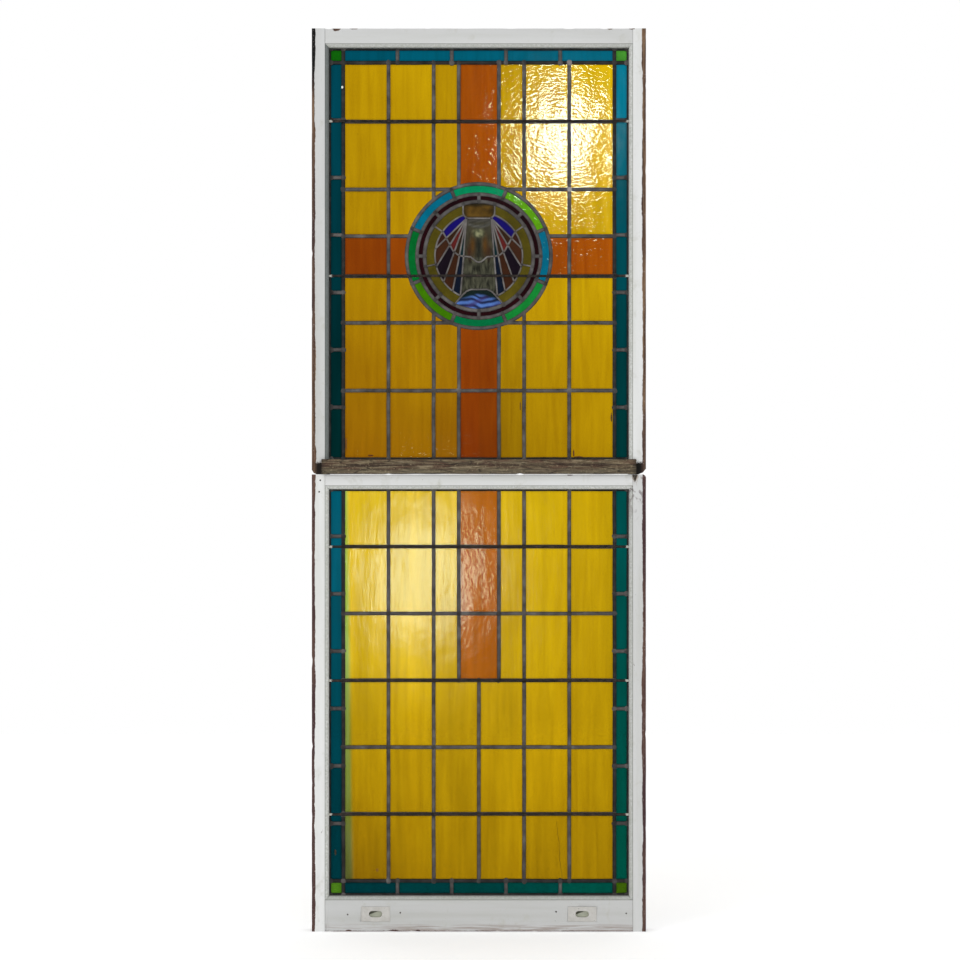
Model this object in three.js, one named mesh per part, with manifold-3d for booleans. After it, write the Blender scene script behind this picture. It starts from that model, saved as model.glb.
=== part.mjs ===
// A stained glass sash window: an upper and a lower sash with one leaded design across both.
// Units are millimetres. The room side faces -Y and +Z is up. The origin is the middle of the
// underside of the bottom rail, and the upper sash stands on the lower one.

import * as THREE from 'three';
import { mergeVertices } from 'three/addons/utils/BufferGeometryUtils.js';
import Module from 'manifold-3d';

const wasm = await Module();
wasm.setup();

// Fits
const GAP = 0.3; // clearance between pieces that touch
const PAD = 5; // how far a cutter runs past what it cuts

// Sashes
const SASH_WIDTH = 900;
const SASH_THICKNESS = 45;
const UPPER_HEIGHT = 1200;
const LOWER_HEIGHT = 1230;
const STILE_FACE = 36; // flat face of a stile, outside its moulding
const TOP_RAIL_FACE = 41;
const BOTTOM_RAIL_FACE = 85;
const UPPER_MEETING_FACE = 41; // the upper sash's meeting rail has no moulding
const LOWER_MEETING_FACE = 30;
const MOULDING_WIDTH = 10;
const MOULDING_DEPTH = 8;
const MOULDING_QUIRK = 1.5; // small step between the flat face and the ovolo
const MOULDING_STEPS = 4;
const NOSE_PROJECTION = 10; // how far a meeting rail stands proud of its sash
const NOSE_INSET = 27; // from the sash's side to the end of that nose

// Glazing
const REBATE_WIDTH = 7;
const PUTTY_TOE = 1.2; // thickness of the putty where it ends on the sash's back
const LEAD_THICKNESS = 7;
const GLASS_THICKNESS = 3;
const CAME_WIDTH = 10;
const RIM_CAME_WIDTH = 10.5; // the came inside the medallion's dark ring
const FINE_CAME_WIDTH = 5.5;

// Leaded design
const BORDER_WIDTH = 38; // from the sight line to the middle of the border's inner came
const STEM_WIDTH = 108; // the cross's stem, and the height of its arms
const FIELD_COLUMNS = 3; // columns of panes on each side of the middle
const MEDALLION_DROP = 611; // from the upper sash's top to the medallion's centre
const INNER_ROW = 180; // cames above and below the medallion's centre
const OUTER_ROW = 363;
const STEM_ROWS = 3; // rows of the lower sash that the stem runs through
const LOWER_ROWS = 6;
const TOP_ROW_CUT = 25.4; // how much lower the top row is than the others
const BORDER_PIECE = 155; // length of a side border's pieces
const BORDER_PIECES_ACROSS = 5;

// Medallion
const RIM_RADIUS = 195;
const RIM_BAND = 28; // widths of the bands inside the rim, from came to came
const DARK_BAND = 20;
const OLIVE_BAND = 29;
const CIRCLE_STEPS = 24;
const RIM_PIECES = 8;
const PANEL_WIDTH = 85; // the small panel at the top of the picture
const PANEL_DROP = 16; // how far it hangs below the top of the picture's ring
const PANEL_CORNER = 16;
const FIGURE_SHOULDER = 66; // width of the middle figure at the panel
const FIGURE_HEM = 100; // and at the foot of the picture
const WAVE_DIP = 16; // how far the cross came dips below the centre, at the middle
const WAVE_ELBOW = 70; // where it turns up, to each side
const WAVE_ANGLE = 56; // angle from the vertical at which it meets the ring
const POOL_RISE = 28; // how far the pool rises above the foot of the picture's ring
const POOL_SHOULDER = 22; // half width of its flat top
const POOL_ANGLE = 27; // angle from the vertical at which it meets the dark ring
const RAY_ANGLES = [80, 104, 126, 143]; // where the rays meet the ring, from the vertical
const OLIVE_JOINTS = [56, 101]; // joints in the olive ring, from the vertical

// Saddle bars
const BAR_DIAMETER = 7;
const BAR_SOCKET = 6; // how deep a bar sits in a stile
const BAR_SIDES = 8;

// Sash lifts
const LIFT_INSET = 172; // from the sash's side to a lift's middle
const LIFT_HEIGHT = 47; // from the sash's underside to a lift's middle
const LIFT_PLATE_WIDTH = 77;
const LIFT_PLATE_HEIGHT = 40;
const LIFT_PLATE_THICKNESS = 2;
const LIFT_PROUD = 0.8;
const CUP_WIDTH = 36;
const CUP_HEIGHT = 17;
const CUP_DEPTH = 13;
const CUP_WALL = 1.2;
const CUP_STEPS = 6; // facets round each end of the cup

// Wear
const LEFT_FOOT_WIDTH = 13; // worn corners of the upper sash's foot
const LEFT_FOOT_HEIGHT = 12;
const RIGHT_FOOT_WIDTH = 21;
const RIGHT_FOOT_HEIGHT = 15;
const LOWER_TOP_WIDTH = 8; // worn top right corner of the lower sash
const LOWER_TOP_HEIGHT = 7;
const NOTCH_WIDTH = 14; // a chip out of the lower sash's top right joint
const NOTCH_DEPTH = 22;
const NOTCH_REACH = 16; // how far it goes in from the face
const NOTCH_OFFSET = 6; // from the joint to its middle

// Worked out
const halfWidth = SASH_WIDTH / 2;
const face = -SASH_THICKNESS / 2;
const back = SASH_THICKNESS / 2;
const jointX = halfWidth - STILE_FACE;
const sightX = jointX - MOULDING_WIDTH;
const rebateX = sightX + REBATE_WIDTH;
const leadFront = -LEAD_THICKNESS / 2;
const leadBack = LEAD_THICKNESS / 2;
const shoulder = leadFront - GAP;
const puttyFront = leadBack + GAP;
const glassFront = -GLASS_THICKNESS / 2;
const glassBack = GLASS_THICKNESS / 2;
const fieldX = sightX - BORDER_WIDTH;
const columnWidth = fieldX / FIELD_COLUMNS;
const stemX = STEM_WIDTH / 2;
const barY = (face + MOULDING_DEPTH + shoulder) / 2;

const lower = {
  base: 0,
  top: LOWER_HEIGHT,
  sightBottom: BOTTOM_RAIL_FACE + MOULDING_WIDTH,
  sightTop: LOWER_HEIGHT - LOWER_MEETING_FACE - MOULDING_WIDTH,
  bottomMoulded: true,
};
const upperBase = LOWER_HEIGHT + GAP;
const upper = {
  base: upperBase,
  top: upperBase + UPPER_HEIGHT,
  sightBottom: upperBase + UPPER_MEETING_FACE,
  sightTop: upperBase + UPPER_HEIGHT - TOP_RAIL_FACE - MOULDING_WIDTH,
  bottomMoulded: false,
};
const centreZ = upper.top - MEDALLION_DROP;
const upperBorderZ = upper.sightTop - BORDER_WIDTH;
const lowerBorderZ = lower.sightBottom + BORDER_WIDTH;
const lowerRowHeight = (lower.sightTop + TOP_ROW_CUT - lowerBorderZ) / LOWER_ROWS;
const lowerRows = Array.from(
  { length: LOWER_ROWS - 1 },
  (unused, row) => lowerBorderZ + lowerRowHeight * (row + 1),
);
const stemFootZ = lowerRows[LOWER_ROWS - 1 - STEM_ROWS];
const darkRadius = RIM_RADIUS - RIM_BAND;
const oliveRadius = darkRadius - DARK_BAND;
const pictureRadius = oliveRadius - OLIVE_BAND;
const panelFoot = pictureRadius - PANEL_DROP;
const poolTop = pictureRadius - POOL_RISE;
const liftX = halfWidth - LIFT_INSET;

// Solids

function solidOf(geometry) {
  geometry.deleteAttribute('normal');
  geometry.deleteAttribute('uv');
  const merged = mergeVertices(geometry, 1e-4);
  return new wasm.Manifold(new wasm.Mesh({
    numProp: 3,
    vertProperties: new Float32Array(merged.attributes.position.array),
    triVerts: new Uint32Array(merged.index.array),
  }));
}

function geometryOf(solid) {
  const mesh = solid.getMesh();
  const geometry = new THREE.BufferGeometry();
  geometry.setAttribute('position', new THREE.BufferAttribute(mesh.vertProperties, 3));
  geometry.setIndex(new THREE.BufferAttribute(mesh.triVerts, 1));
  const flat = geometry.toNonIndexed();
  flat.computeVertexNormals();
  return flat;
}

function box(x0, x1, y0, y1, z0, z1) {
  const geometry = new THREE.BoxGeometry(x1 - x0, y1 - y0, z1 - z0);
  return solidOf(geometry.translate((x0 + x1) / 2, (y0 + y1) / 2, (z0 + z1) / 2));
}

function outlineOf(points) {
  return points.map(([x, z]) => new THREE.Vector2(x, z));
}

// An outline in the window's plane, extruded from y0 back to y1.
function prism(points, y0, y1, hole = null) {
  const shape = new THREE.Shape(outlineOf(points));
  if (hole) {
    shape.holes.push(new THREE.Path(outlineOf(hole)));
  }
  const geometry = new THREE.ExtrudeGeometry(shape, { depth: y1 - y0, bevelEnabled: false });
  return solidOf(geometry.rotateX(Math.PI / 2).translate(0, y1, 0));
}

// Rectangles at growing depths, joined into one closed body.
function loft(levels) {
  const positions = [];
  const index = [];
  levels.forEach(({ y, x0, x1, z0, z1 }) => {
    positions.push(x0, y, z0, x1, y, z0, x1, y, z1, x0, y, z1);
  });
  for (let level = 0; level < levels.length - 1; level += 1) {
    for (let corner = 0; corner < 4; corner += 1) {
      const near = level * 4 + corner;
      const nearNext = level * 4 + (corner + 1) % 4;
      index.push(near, near + 4, nearNext + 4, near, nearNext + 4, nearNext);
    }
  }
  const last = (levels.length - 1) * 4;
  index.push(0, 1, 2, 0, 2, 3);
  index.push(last, last + 2, last + 1, last, last + 3, last + 2);
  const geometry = new THREE.BufferGeometry();
  geometry.setAttribute('position', new THREE.Float32BufferAttribute(positions, 3));
  geometry.setIndex(index);
  return solidOf(geometry);
}

function rectangle(x0, x1, z0, z1) {
  return [[x0, z0], [x1, z0], [x1, z1], [x0, z1]];
}

function joined(solids) {
  return solids.reduce((whole, solid) => whole.add(solid));
}

function mirrored(points) {
  return points.map(([x, z]) => [-x, z]).reverse();
}

// A point on a circle about the medallion's centre, at an angle clockwise from the top.
function onCircle(radius, degrees) {
  const angle = THREE.MathUtils.degToRad(degrees);
  return [radius * Math.sin(angle), centreZ + radius * Math.cos(angle)];
}

function circle(radius) {
  return Array.from({ length: CIRCLE_STEPS }, (unused, step) => (
    onCircle(radius, (-360 * step) / CIRCLE_STEPS)
  ));
}

// A band of one width along a line of points.
function strip(points, width) {
  const left = [];
  const right = [];
  points.forEach((point, at) => {
    const before = points[Math.max(at - 1, 0)];
    const after = points[Math.min(at + 1, points.length - 1)];
    const along = new THREE.Vector2(after[0] - before[0], after[1] - before[1]).normalize();
    const side = [(-along.y * width) / 2, (along.x * width) / 2];
    left.push([point[0] + side[0], point[1] + side[1]]);
    right.push([point[0] - side[0], point[1] - side[1]]);
  });
  return left.concat(right.reverse());
}

// Wooden sashes

function grown(sash, amount, y) {
  return {
    y,
    x0: -sightX - amount,
    x1: sightX + amount,
    z0: sash.sightBottom - (sash.bottomMoulded ? amount : 0),
    z1: sash.sightTop + amount,
  };
}

function openingLevels(sash) {
  const levels = [
    grown(sash, MOULDING_WIDTH, face - NOSE_PROJECTION - PAD),
    grown(sash, MOULDING_WIDTH, face + MOULDING_QUIRK),
  ];
  for (let step = 0; step <= MOULDING_STEPS; step += 1) {
    const angle = (Math.PI / 2) * (step / MOULDING_STEPS);
    levels.push(grown(
      sash,
      (MOULDING_WIDTH - MOULDING_QUIRK) * (1 - Math.sin(angle)),
      face + MOULDING_DEPTH - (MOULDING_DEPTH - MOULDING_QUIRK) * Math.cos(angle),
    ));
  }
  levels.push(grown(sash, 0, back + PAD));
  return levels;
}

function rebateOf(sash, y0, y1, inset) {
  return box(
    inset - rebateX,
    rebateX - inset,
    y0,
    y1,
    sash.sightBottom - REBATE_WIDTH + inset,
    sash.sightTop + REBATE_WIDTH - inset,
  );
}

function sashBlank(sash) {
  return box(-halfWidth, halfWidth, face, back, sash.base, sash.top)
    .subtract(loft(openingLevels(sash)))
    .subtract(rebateOf(sash, shoulder, back + PAD, 0));
}

// The right stile's part of a sash, with mitred mouldings at its joints.
function stileOutline(sash) {
  const inner = [
    [jointX, sash.top + PAD],
    [jointX, sash.sightTop + MOULDING_WIDTH],
    [sightX, sash.sightTop],
  ];
  if (sash.bottomMoulded) {
    inner.push([sightX, sash.sightBottom], [jointX, sash.sightBottom - MOULDING_WIDTH]);
    inner.push([jointX, sash.base - PAD]);
  } else {
    inner.push([sightX, sash.base - PAD]);
  }
  return [[halfWidth + PAD, sash.base - PAD], [halfWidth + PAD, sash.top + PAD], ...inner];
}

function barSockets(sash, heights) {
  const length = 2 * (sightX + BAR_SOCKET);
  return heights.map((z) => {
    const geometry = new THREE.CylinderGeometry(
      BAR_DIAMETER / 2 + GAP,
      BAR_DIAMETER / 2 + GAP,
      length,
      BAR_SIDES,
    );
    return solidOf(geometry.rotateZ(Math.PI / 2).translate(0, barY, z));
  });
}

// The rails between the stiles, cut back by the joint's clearance.
function railPart(blank, sash, z0, z1) {
  const shift = (points) => points.map(([x, z]) => [x - GAP, z]);
  const right = prism(shift(stileOutline(sash)), face - PAD, back + PAD);
  const left = prism(mirrored(shift(stileOutline(sash))), face - PAD, back + PAD);
  return blank
    .subtract(right)
    .subtract(left)
    .intersect(box(-halfWidth, halfWidth, face - PAD, back + PAD, z0, z1));
}

function wornCorner(x, z, [width, height], sideX, sideZ) {
  const corner = [
    [x + sideX * PAD, z + sideZ * PAD],
    [x - sideX * width, z + sideZ * PAD],
    [x - sideX * width, z],
    [x - sideX * width * 0.4, z - sideZ * height * 0.35],
    [x, z - sideZ * height],
    [x + sideX * PAD, z - sideZ * height],
  ];
  return prism(corner, face - PAD, back + PAD);
}

function notch() {
  const middle = jointX + NOTCH_OFFSET;
  const outline = [
    [middle - NOTCH_WIDTH / 2, lower.top + PAD],
    [middle - NOTCH_WIDTH / 2, lower.top],
    [middle, lower.top - NOTCH_DEPTH],
    [middle + NOTCH_WIDTH / 2, lower.top],
    [middle + NOTCH_WIDTH / 2, lower.top + PAD],
  ];
  return prism(outline, face - PAD, face + NOTCH_REACH);
}

// A meeting rail's body stands proud of its sash, and its nose laps over the stiles.
function meetingRail(rail, z0, z1, towards) {
  const railX = sightX - GAP;
  const noseX = halfWidth - NOSE_INSET;
  const surface = towards * (SASH_THICKNESS / 2);
  const outside = surface + towards * NOSE_PROJECTION;
  const order = (a, b) => [Math.min(a, b), Math.max(a, b)];
  const bodySpan = order(surface - towards * GAP, outside);
  const noseSpan = order(surface + towards * GAP, outside);
  return rail
    .add(box(-railX, railX, bodySpan[0], bodySpan[1], z0, z1))
    .add(box(-noseX, noseX, noseSpan[0], noseSpan[1], z0, z1));
}

function roundedSlot(width, height, y0, y1, x, z) {
  const radius = height / 2;
  const reach = width / 2 - radius;
  const points = [];
  [1, -1].forEach((side) => {
    for (let step = 0; step <= CUP_STEPS; step += 1) {
      const angle = Math.PI * (step / CUP_STEPS) - Math.PI / 2;
      points.push([
        x + side * (reach + radius * Math.cos(angle)),
        z + side * radius * Math.sin(angle),
      ]);
    }
  });
  return prism(points, y0, y1);
}

function liftPocket(x) {
  const z = lower.base + LIFT_HEIGHT;
  const clear = 2 * (CUP_WALL + GAP);
  const plateFloor = face - LIFT_PROUD + LIFT_PLATE_THICKNESS + GAP;
  const cupFloor = face - LIFT_PROUD + CUP_DEPTH + CUP_WALL + GAP;
  const cupZ = (CUP_HEIGHT + clear) / 2;
  const cupX = (CUP_WIDTH + clear) / 2;
  const plateX = LIFT_PLATE_WIDTH / 2 + GAP;
  const plateZ = LIFT_PLATE_HEIGHT / 2 + GAP;
  return box(x - plateX, x + plateX, face - PAD, plateFloor, z - plateZ, z + plateZ)
    .add(box(x - cupX, x + cupX, face - PAD, cupFloor, z - cupZ, z + cupZ));
}

function sashLift(x) {
  const z = lower.base + LIFT_HEIGHT;
  const front = face - LIFT_PROUD;
  const plateX = LIFT_PLATE_WIDTH / 2;
  const plateZ = LIFT_PLATE_HEIGHT / 2;
  const plate = box(x - plateX, x + plateX, front, front + LIFT_PLATE_THICKNESS, z - plateZ, z + plateZ);
  const floor = front + CUP_DEPTH;
  const outerWidth = CUP_WIDTH + 2 * CUP_WALL;
  const outerHeight = CUP_HEIGHT + 2 * CUP_WALL;
  return plate
    .add(roundedSlot(outerWidth, outerHeight, front + GAP, floor + CUP_WALL, x, z))
    .subtract(roundedSlot(CUP_WIDTH, CUP_HEIGHT, front - PAD, floor, x, z));
}

function puttyRing(sash) {
  const toe = REBATE_WIDTH - PUTTY_TOE - GAP;
  const slope = loft([
    grownAll(sash, 0, puttyFront - PAD),
    grownAll(sash, 0, puttyFront),
    grownAll(sash, toe, back),
    grownAll(sash, toe, back + PAD),
  ]);
  return rebateOf(sash, puttyFront, back, GAP).subtract(slope);
}

function grownAll(sash, amount, y) {
  return { ...grown(sash, amount, y), z0: sash.sightBottom - amount };
}

function saddleBar(z) {
  const length = 2 * (sightX + BAR_SOCKET - GAP);
  const geometry = new THREE.CylinderGeometry(BAR_DIAMETER / 2, BAR_DIAMETER / 2, length, BAR_SIDES);
  return solidOf(geometry.rotateZ(Math.PI / 2).translate(0, barY, z));
}

// Lead cames. Each has a centre line and a width. A whole came parts two areas of glass. Between
// panes of one area it is a leaf on the front of the glass and one on the back, and a thin came in
// the medallion is the front leaf alone.

const frontLeaf = [leadFront, glassFront - GAP];
const backLeaf = [glassBack + GAP, leadBack];
const wholeCame = [leadFront, leadBack];

function came(points, whole, width = CAME_WIDTH) {
  return { points, width, whole, layers: whole ? [wholeCame] : [frontLeaf, backLeaf] };
}

function thinCame(points) {
  return { points, width: FINE_CAME_WIDTH, whole: false, layers: [frontLeaf] };
}

function upright(x, z0, z1, whole) {
  return came([[x, z0], [x, z1]], whole);
}

function level(z, x0, x1, whole) {
  return came([[x0, z], [x1, z]], whole);
}

function chord(distance) {
  return Math.sqrt(Math.max(RIM_RADIUS ** 2 - distance ** 2, 0));
}

function upperCames() {
  const cames = [];
  const bottom = upper.sightBottom;
  [-1, 1].forEach((side) => {
    cames.push(upright(side * fieldX, bottom, upper.sightTop, true));
    for (let column = 2; column < FIELD_COLUMNS; column += 1) {
      cames.push(upright(side * column * columnWidth, bottom, upperBorderZ, false));
    }
    [[columnWidth, false], [stemX, true]].forEach(([x, whole]) => {
      cames.push(upright(side * x, bottom, centreZ - chord(x), whole));
      cames.push(upright(side * x, centreZ + chord(x), upperBorderZ, whole));
    });
    [[INNER_ROW, false], [stemX, true]].forEach(([row, whole]) => {
      [-1, 1].forEach((way) => {
        cames.push(level(centreZ + way * row, side * fieldX, side * chord(row), whole));
      });
    });
    cames.push(level(centreZ + side * OUTER_ROW, -fieldX, fieldX, false));
    for (let z = upperBorderZ - BORDER_PIECE; z > bottom + CAME_WIDTH; z -= BORDER_PIECE) {
      cames.push(level(z, side * fieldX, side * sightX, false));
    }
  });
  cames.push(level(upperBorderZ, -sightX, sightX, true));
  cames.push(...acrossBorder(upperBorderZ, upper.sightTop));
  return cames;
}

function lowerCames() {
  const cames = [];
  const stemTop = lower.sightTop;
  [-1, 1].forEach((side) => {
    cames.push(upright(side * fieldX, lower.sightBottom, lower.sightTop, true));
    for (let column = 1; column < FIELD_COLUMNS; column += 1) {
      cames.push(upright(side * column * columnWidth, lowerBorderZ, lower.sightTop, false));
    }
    cames.push(upright(side * stemX, stemFootZ, stemTop, true));
    for (let z = lowerBorderZ + BORDER_PIECE; z < lower.sightTop - CAME_WIDTH; z += BORDER_PIECE) {
      cames.push(level(z, side * fieldX, side * sightX, false));
    }
  });
  cames.push(upright(0, lowerBorderZ, stemFootZ, false));
  lowerRows.forEach((z) => cames.push(level(z, -fieldX, fieldX, false)));
  cames.push(level(stemFootZ, -stemX, stemX, true));
  cames.push(level(lowerBorderZ, -sightX, sightX, true));
  cames.push(...acrossBorder(lower.sightBottom, lowerBorderZ));
  return cames;
}

function acrossBorder(z0, z1) {
  const piece = (2 * fieldX) / BORDER_PIECES_ACROSS;
  return Array.from({ length: BORDER_PIECES_ACROSS - 1 }, (unused, at) => (
    upright(-fieldX + piece * (at + 1), z0, z1, false)
  ));
}

function cameSolid({ points, width, layers }) {
  return joined(layers.map(([y0, y1]) => prism(strip(points, width), y0, y1)));
}

// The space that whole cames take out of the glass.
function cameSpace(cames) {
  return joined(cames.filter(({ whole }) => whole).map(({ points, width }) => (
    prism(strip(points, width + 2 * GAP), leadFront, leadBack)
  )));
}

// A band of one width along the sight line, all round a sash.
function sightBand(sash, width, y0, y1) {
  const edge = (reach) => rectangle(
    -sightX - reach,
    sightX + reach,
    sash.sightBottom - reach,
    sash.sightTop + reach,
  );
  return prism(edge(width / 2), y0, y1, edge(-width / 2));
}

// The came round a whole panel sits half in the rebate.
function perimeterSolid(sash) {
  return sightBand(sash, CAME_WIDTH, leadFront, leadBack);
}

function ringSolid(radius, width, y0, y1) {
  return prism(circle(radius + width / 2), y0, y1, circle(radius - width / 2));
}

function ringCame(radius, width) {
  return ringSolid(radius, width, leadFront, leadBack);
}

function ringSpace(radius, width) {
  return ringSolid(radius, width + 2 * GAP, leadFront, leadBack);
}

// Medallion

// The panel at the top of the picture, with round lower corners.
function panelLine() {
  const half = PANEL_WIDTH / 2;
  const foot = centreZ + panelFoot;
  const top = centreZ + Math.sqrt(oliveRadius ** 2 - half ** 2);
  const corner = [];
  for (let step = 0; step <= 3; step += 1) {
    const angle = (Math.PI / 2) * (step / 3);
    corner.push([
      half - PANEL_CORNER + PANEL_CORNER * Math.cos(angle),
      foot + PANEL_CORNER - PANEL_CORNER * Math.sin(angle),
    ]);
  }
  const right = [[half, top], ...corner];
  return right.concat(mirrored(right));
}

// The edge of the pool at the picture's foot, from the dark ring up and over.
function poolLine() {
  const foot = onCircle(oliveRadius, 180 - POOL_ANGLE);
  const top = centreZ - poolTop;
  const middle = [(foot[0] + POOL_SHOULDER) / 2, (foot[1] + top) / 2 + POOL_SHOULDER / 4];
  const right = [foot, middle, [POOL_SHOULDER, top]];
  return right.concat(mirrored(right));
}

// The came that crosses the picture.
function waveLine() {
  const end = onCircle(pictureRadius, WAVE_ANGLE);
  const right = [
    end,
    [WAVE_ELBOW, centreZ + WAVE_DIP],
    [FIGURE_HEM / 2, centreZ],
    [WAVE_DIP * 1.4, centreZ - WAVE_DIP * 0.12],
  ];
  return [...right, [0, centreZ - WAVE_DIP], ...mirrored(right)];
}

function figureSide() {
  const foot = [FIGURE_HEM / 2, centreZ - Math.sqrt(pictureRadius ** 2 - (FIGURE_HEM / 2) ** 2)];
  return [[FIGURE_SHOULDER / 2, centreZ + panelFoot], foot];
}

function medallionCames() {
  const cames = [];
  for (let piece = 0; piece < RIM_PIECES; piece += 1) {
    const turn = 360 / RIM_PIECES;
    const rimJoint = (piece + 0.5) * turn;
    const darkJoint = piece * turn;
    cames.push(came([onCircle(darkRadius, rimJoint), onCircle(RIM_RADIUS, rimJoint)], true));
    cames.push(thinCame([
      onCircle(oliveRadius, darkJoint),
      onCircle(darkRadius, darkJoint),
    ]));
  }
  [-1, 1].forEach((side) => {
    const spring = [(side * FIGURE_SHOULDER) / 2, centreZ + panelFoot];
    OLIVE_JOINTS.forEach((angle) => cames.push(thinCame([
      onCircle(pictureRadius, side * angle),
      onCircle(oliveRadius, side * angle),
    ])));
    RAY_ANGLES.forEach((angle) => {
      cames.push(thinCame([spring, onCircle(pictureRadius, side * angle)]));
    });
    const edge = figureSide().map(([x, z]) => [side * x, z]);
    cames.push(came(edge, true, FINE_CAME_WIDTH));
  });
  [panelLine(), poolLine(), waveLine()].forEach((points) => {
    cames.push(came(points, true, FINE_CAME_WIDTH));
  });
  return cames;
}

// Outlines that run past the rings, to cut areas out of the medallion's discs.
const far = RIM_RADIUS * 2;

function panelArea(y0, y1) {
  return prism([...panelLine(), [0, centreZ + far]], y0, y1);
}

function poolArea(y0, y1) {
  return prism([...poolLine(), [0, centreZ - far]], y0, y1);
}

function medallionAreas() {
  const y0 = glassFront;
  const y1 = glassBack;
  const pool = poolArea(y0, y1);
  const panel = panelArea(y0, y1);
  const sky = [[-far, centreZ], [-far, centreZ + far], [far, centreZ + far], [far, centreZ]];
  const aboveWave = prism([...waveLine(), ...sky], y0, y1);
  const [shoulderPoint, hemPoint] = figureSide();
  const figureOutline = [shoulderPoint, hemPoint, [hemPoint[0], centreZ - far]];
  const figure = prism([...figureOutline, ...mirrored(figureOutline)], y0, y1);
  const half = (side) => prism(rectangle(0, side * far, centreZ - far, centreZ + far), y0, y1);
  const disc = prism(circle(oliveRadius), y0, y1);
  const picture = prism(circle(pictureRadius), y0, y1).subtract(pool).subtract(panel);
  const olive = ringBand(pictureRadius, oliveRadius).subtract(pool).subtract(panel);
  const areas = {
    medallion_dark_ring_glass: ringBand(oliveRadius, darkRadius),
    medallion_panel_glass: disc.intersect(panel),
    medallion_pool_glass: disc.intersect(pool),
    medallion_figure_glass_upper: picture.intersect(figure).intersect(aboveWave),
    medallion_figure_glass_lower: picture.intersect(figure).subtract(aboveWave),
  };
  [['left', -1], ['right', 1]].forEach(([name, side]) => {
    const ground = picture.subtract(figure).intersect(half(side));
    areas[`medallion_olive_glass_${name}`] = olive.intersect(half(side));
    areas[`medallion_ray_glass_${name}`] = ground.intersect(aboveWave);
    areas[`medallion_fold_glass_${name}`] = ground.subtract(aboveWave);
  });
  return areas;
}

function ringBand(innerRadius, outerRadius) {
  return prism(circle(outerRadius), glassFront, glassBack, circle(innerRadius));
}

function rimPiece(piece) {
  const turn = 360 / RIM_PIECES;
  const wedge = [
    [0, centreZ],
    onCircle(far, (piece - 0.5) * turn),
    onCircle(far, piece * turn),
    onCircle(far, (piece + 0.5) * turn),
  ];
  return ringBand(darkRadius, RIM_RADIUS).intersect(prism(wedge, glassFront, glassBack));
}

// Glass areas of the fields and borders

function pane(x0, x1, z0, z1) {
  return box(x0, x1, glassFront, glassBack, z0, z1);
}

function upperAreas() {
  const disc = prism(circle(RIM_RADIUS), glassFront - PAD, glassBack + PAD);
  const areas = {
    upper_orange_glass_top: pane(-stemX, stemX, centreZ, upperBorderZ).subtract(disc),
    upper_orange_glass_bottom: pane(-stemX, stemX, upper.sightBottom, centreZ).subtract(disc),
    upper_teal_glass_top: pane(-fieldX, fieldX, upperBorderZ, upper.sightTop),
  };
  [['left', -1], ['right', 1]].forEach(([name, side]) => {
    const span = (a, b) => [Math.min(side * a, side * b), Math.max(side * a, side * b)];
    const [fieldLow, fieldHigh] = span(stemX, fieldX);
    const [armLow, armHigh] = span(0, fieldX);
    const [edgeLow, edgeHigh] = span(fieldX, sightX);
    areas[`upper_yellow_glass_top_${name}`] = pane(
      fieldLow,
      fieldHigh,
      centreZ + stemX,
      upperBorderZ,
    ).subtract(disc);
    areas[`upper_yellow_glass_bottom_${name}`] = pane(
      fieldLow,
      fieldHigh,
      upper.sightBottom,
      centreZ - stemX,
    ).subtract(disc);
    areas[`upper_orange_glass_${name}`] = pane(armLow, armHigh, centreZ - stemX, centreZ + stemX)
      .subtract(disc);
    areas[`upper_teal_glass_${name}`] = pane(edgeLow, edgeHigh, upper.sightBottom, upperBorderZ);
    areas[`upper_green_glass_${name}`] = pane(edgeLow, edgeHigh, upperBorderZ, upper.sightTop);
  });
  return areas;
}

function lowerAreas() {
  const areas = {
    lower_orange_glass: pane(-stemX, stemX, stemFootZ, lower.sightTop),
    lower_yellow_glass: pane(-fieldX, fieldX, lowerBorderZ, lower.sightTop)
      .subtract(pane(-stemX, stemX, stemFootZ, lower.sightTop)),
    lower_teal_glass_bottom: pane(-fieldX, fieldX, lower.sightBottom, lowerBorderZ),
  };
  [['left', -1], ['right', 1]].forEach(([name, side]) => {
    const low = Math.min(side * fieldX, side * sightX);
    const high = Math.max(side * fieldX, side * sightX);
    areas[`lower_teal_glass_${name}`] = pane(low, high, lowerBorderZ, lower.sightTop);
    areas[`lower_green_glass_${name}`] = pane(low, high, lower.sightBottom, lowerBorderZ);
  });
  return areas;
}

// Materials

function material(color, roughness, metalness = 0) {
  return new THREE.MeshStandardMaterial({ color, roughness, metalness });
}

function glass(color) {
  return new THREE.MeshStandardMaterial({ color, roughness: 0.1, transparent: true, opacity: 0.75 });
}

const paint = material(0xd8d5cf, 0.55);
const bareWood = material(0x7d6e5a, 0.85);
const putty = material(0xb9b4a6, 0.8);
const lead = material(0x4b4846, 0.5, 0.6);
const steel = material(0x35322f, 0.5, 0.5);
const glassColours = {
  yellow: glass(0xc09a00),
  orange: glass(0xa04c08),
  teal: glass(0x00707a),
  green: glass(0x3f8a1c),
  dark: glass(0x24060a),
  olive: glass(0x4a4a12),
  panel: glass(0x6a4a14),
  ray: glass(0x2a1450),
  fold: glass(0x402414),
  figure: glass(0x4a4f40),
  pool: glass(0x3a5a96),
};
const rimColours = [0x00824e, 0x468c0a, 0x005a78, 0x19822d, 0x006e32, 0x326e00, 0x005a14, 0x006e5a]
  .map(glass);

function glassMaterial(name) {
  const key = Object.keys(glassColours).find((colour) => name.includes(`_${colour}_`));
  return glassColours[key];
}

// Assembly

const group = new THREE.Group();

function place(name, solid, finish) {
  const mesh = new THREE.Mesh(geometryOf(solid), finish);
  mesh.name = name;
  group.add(mesh);
}

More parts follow.
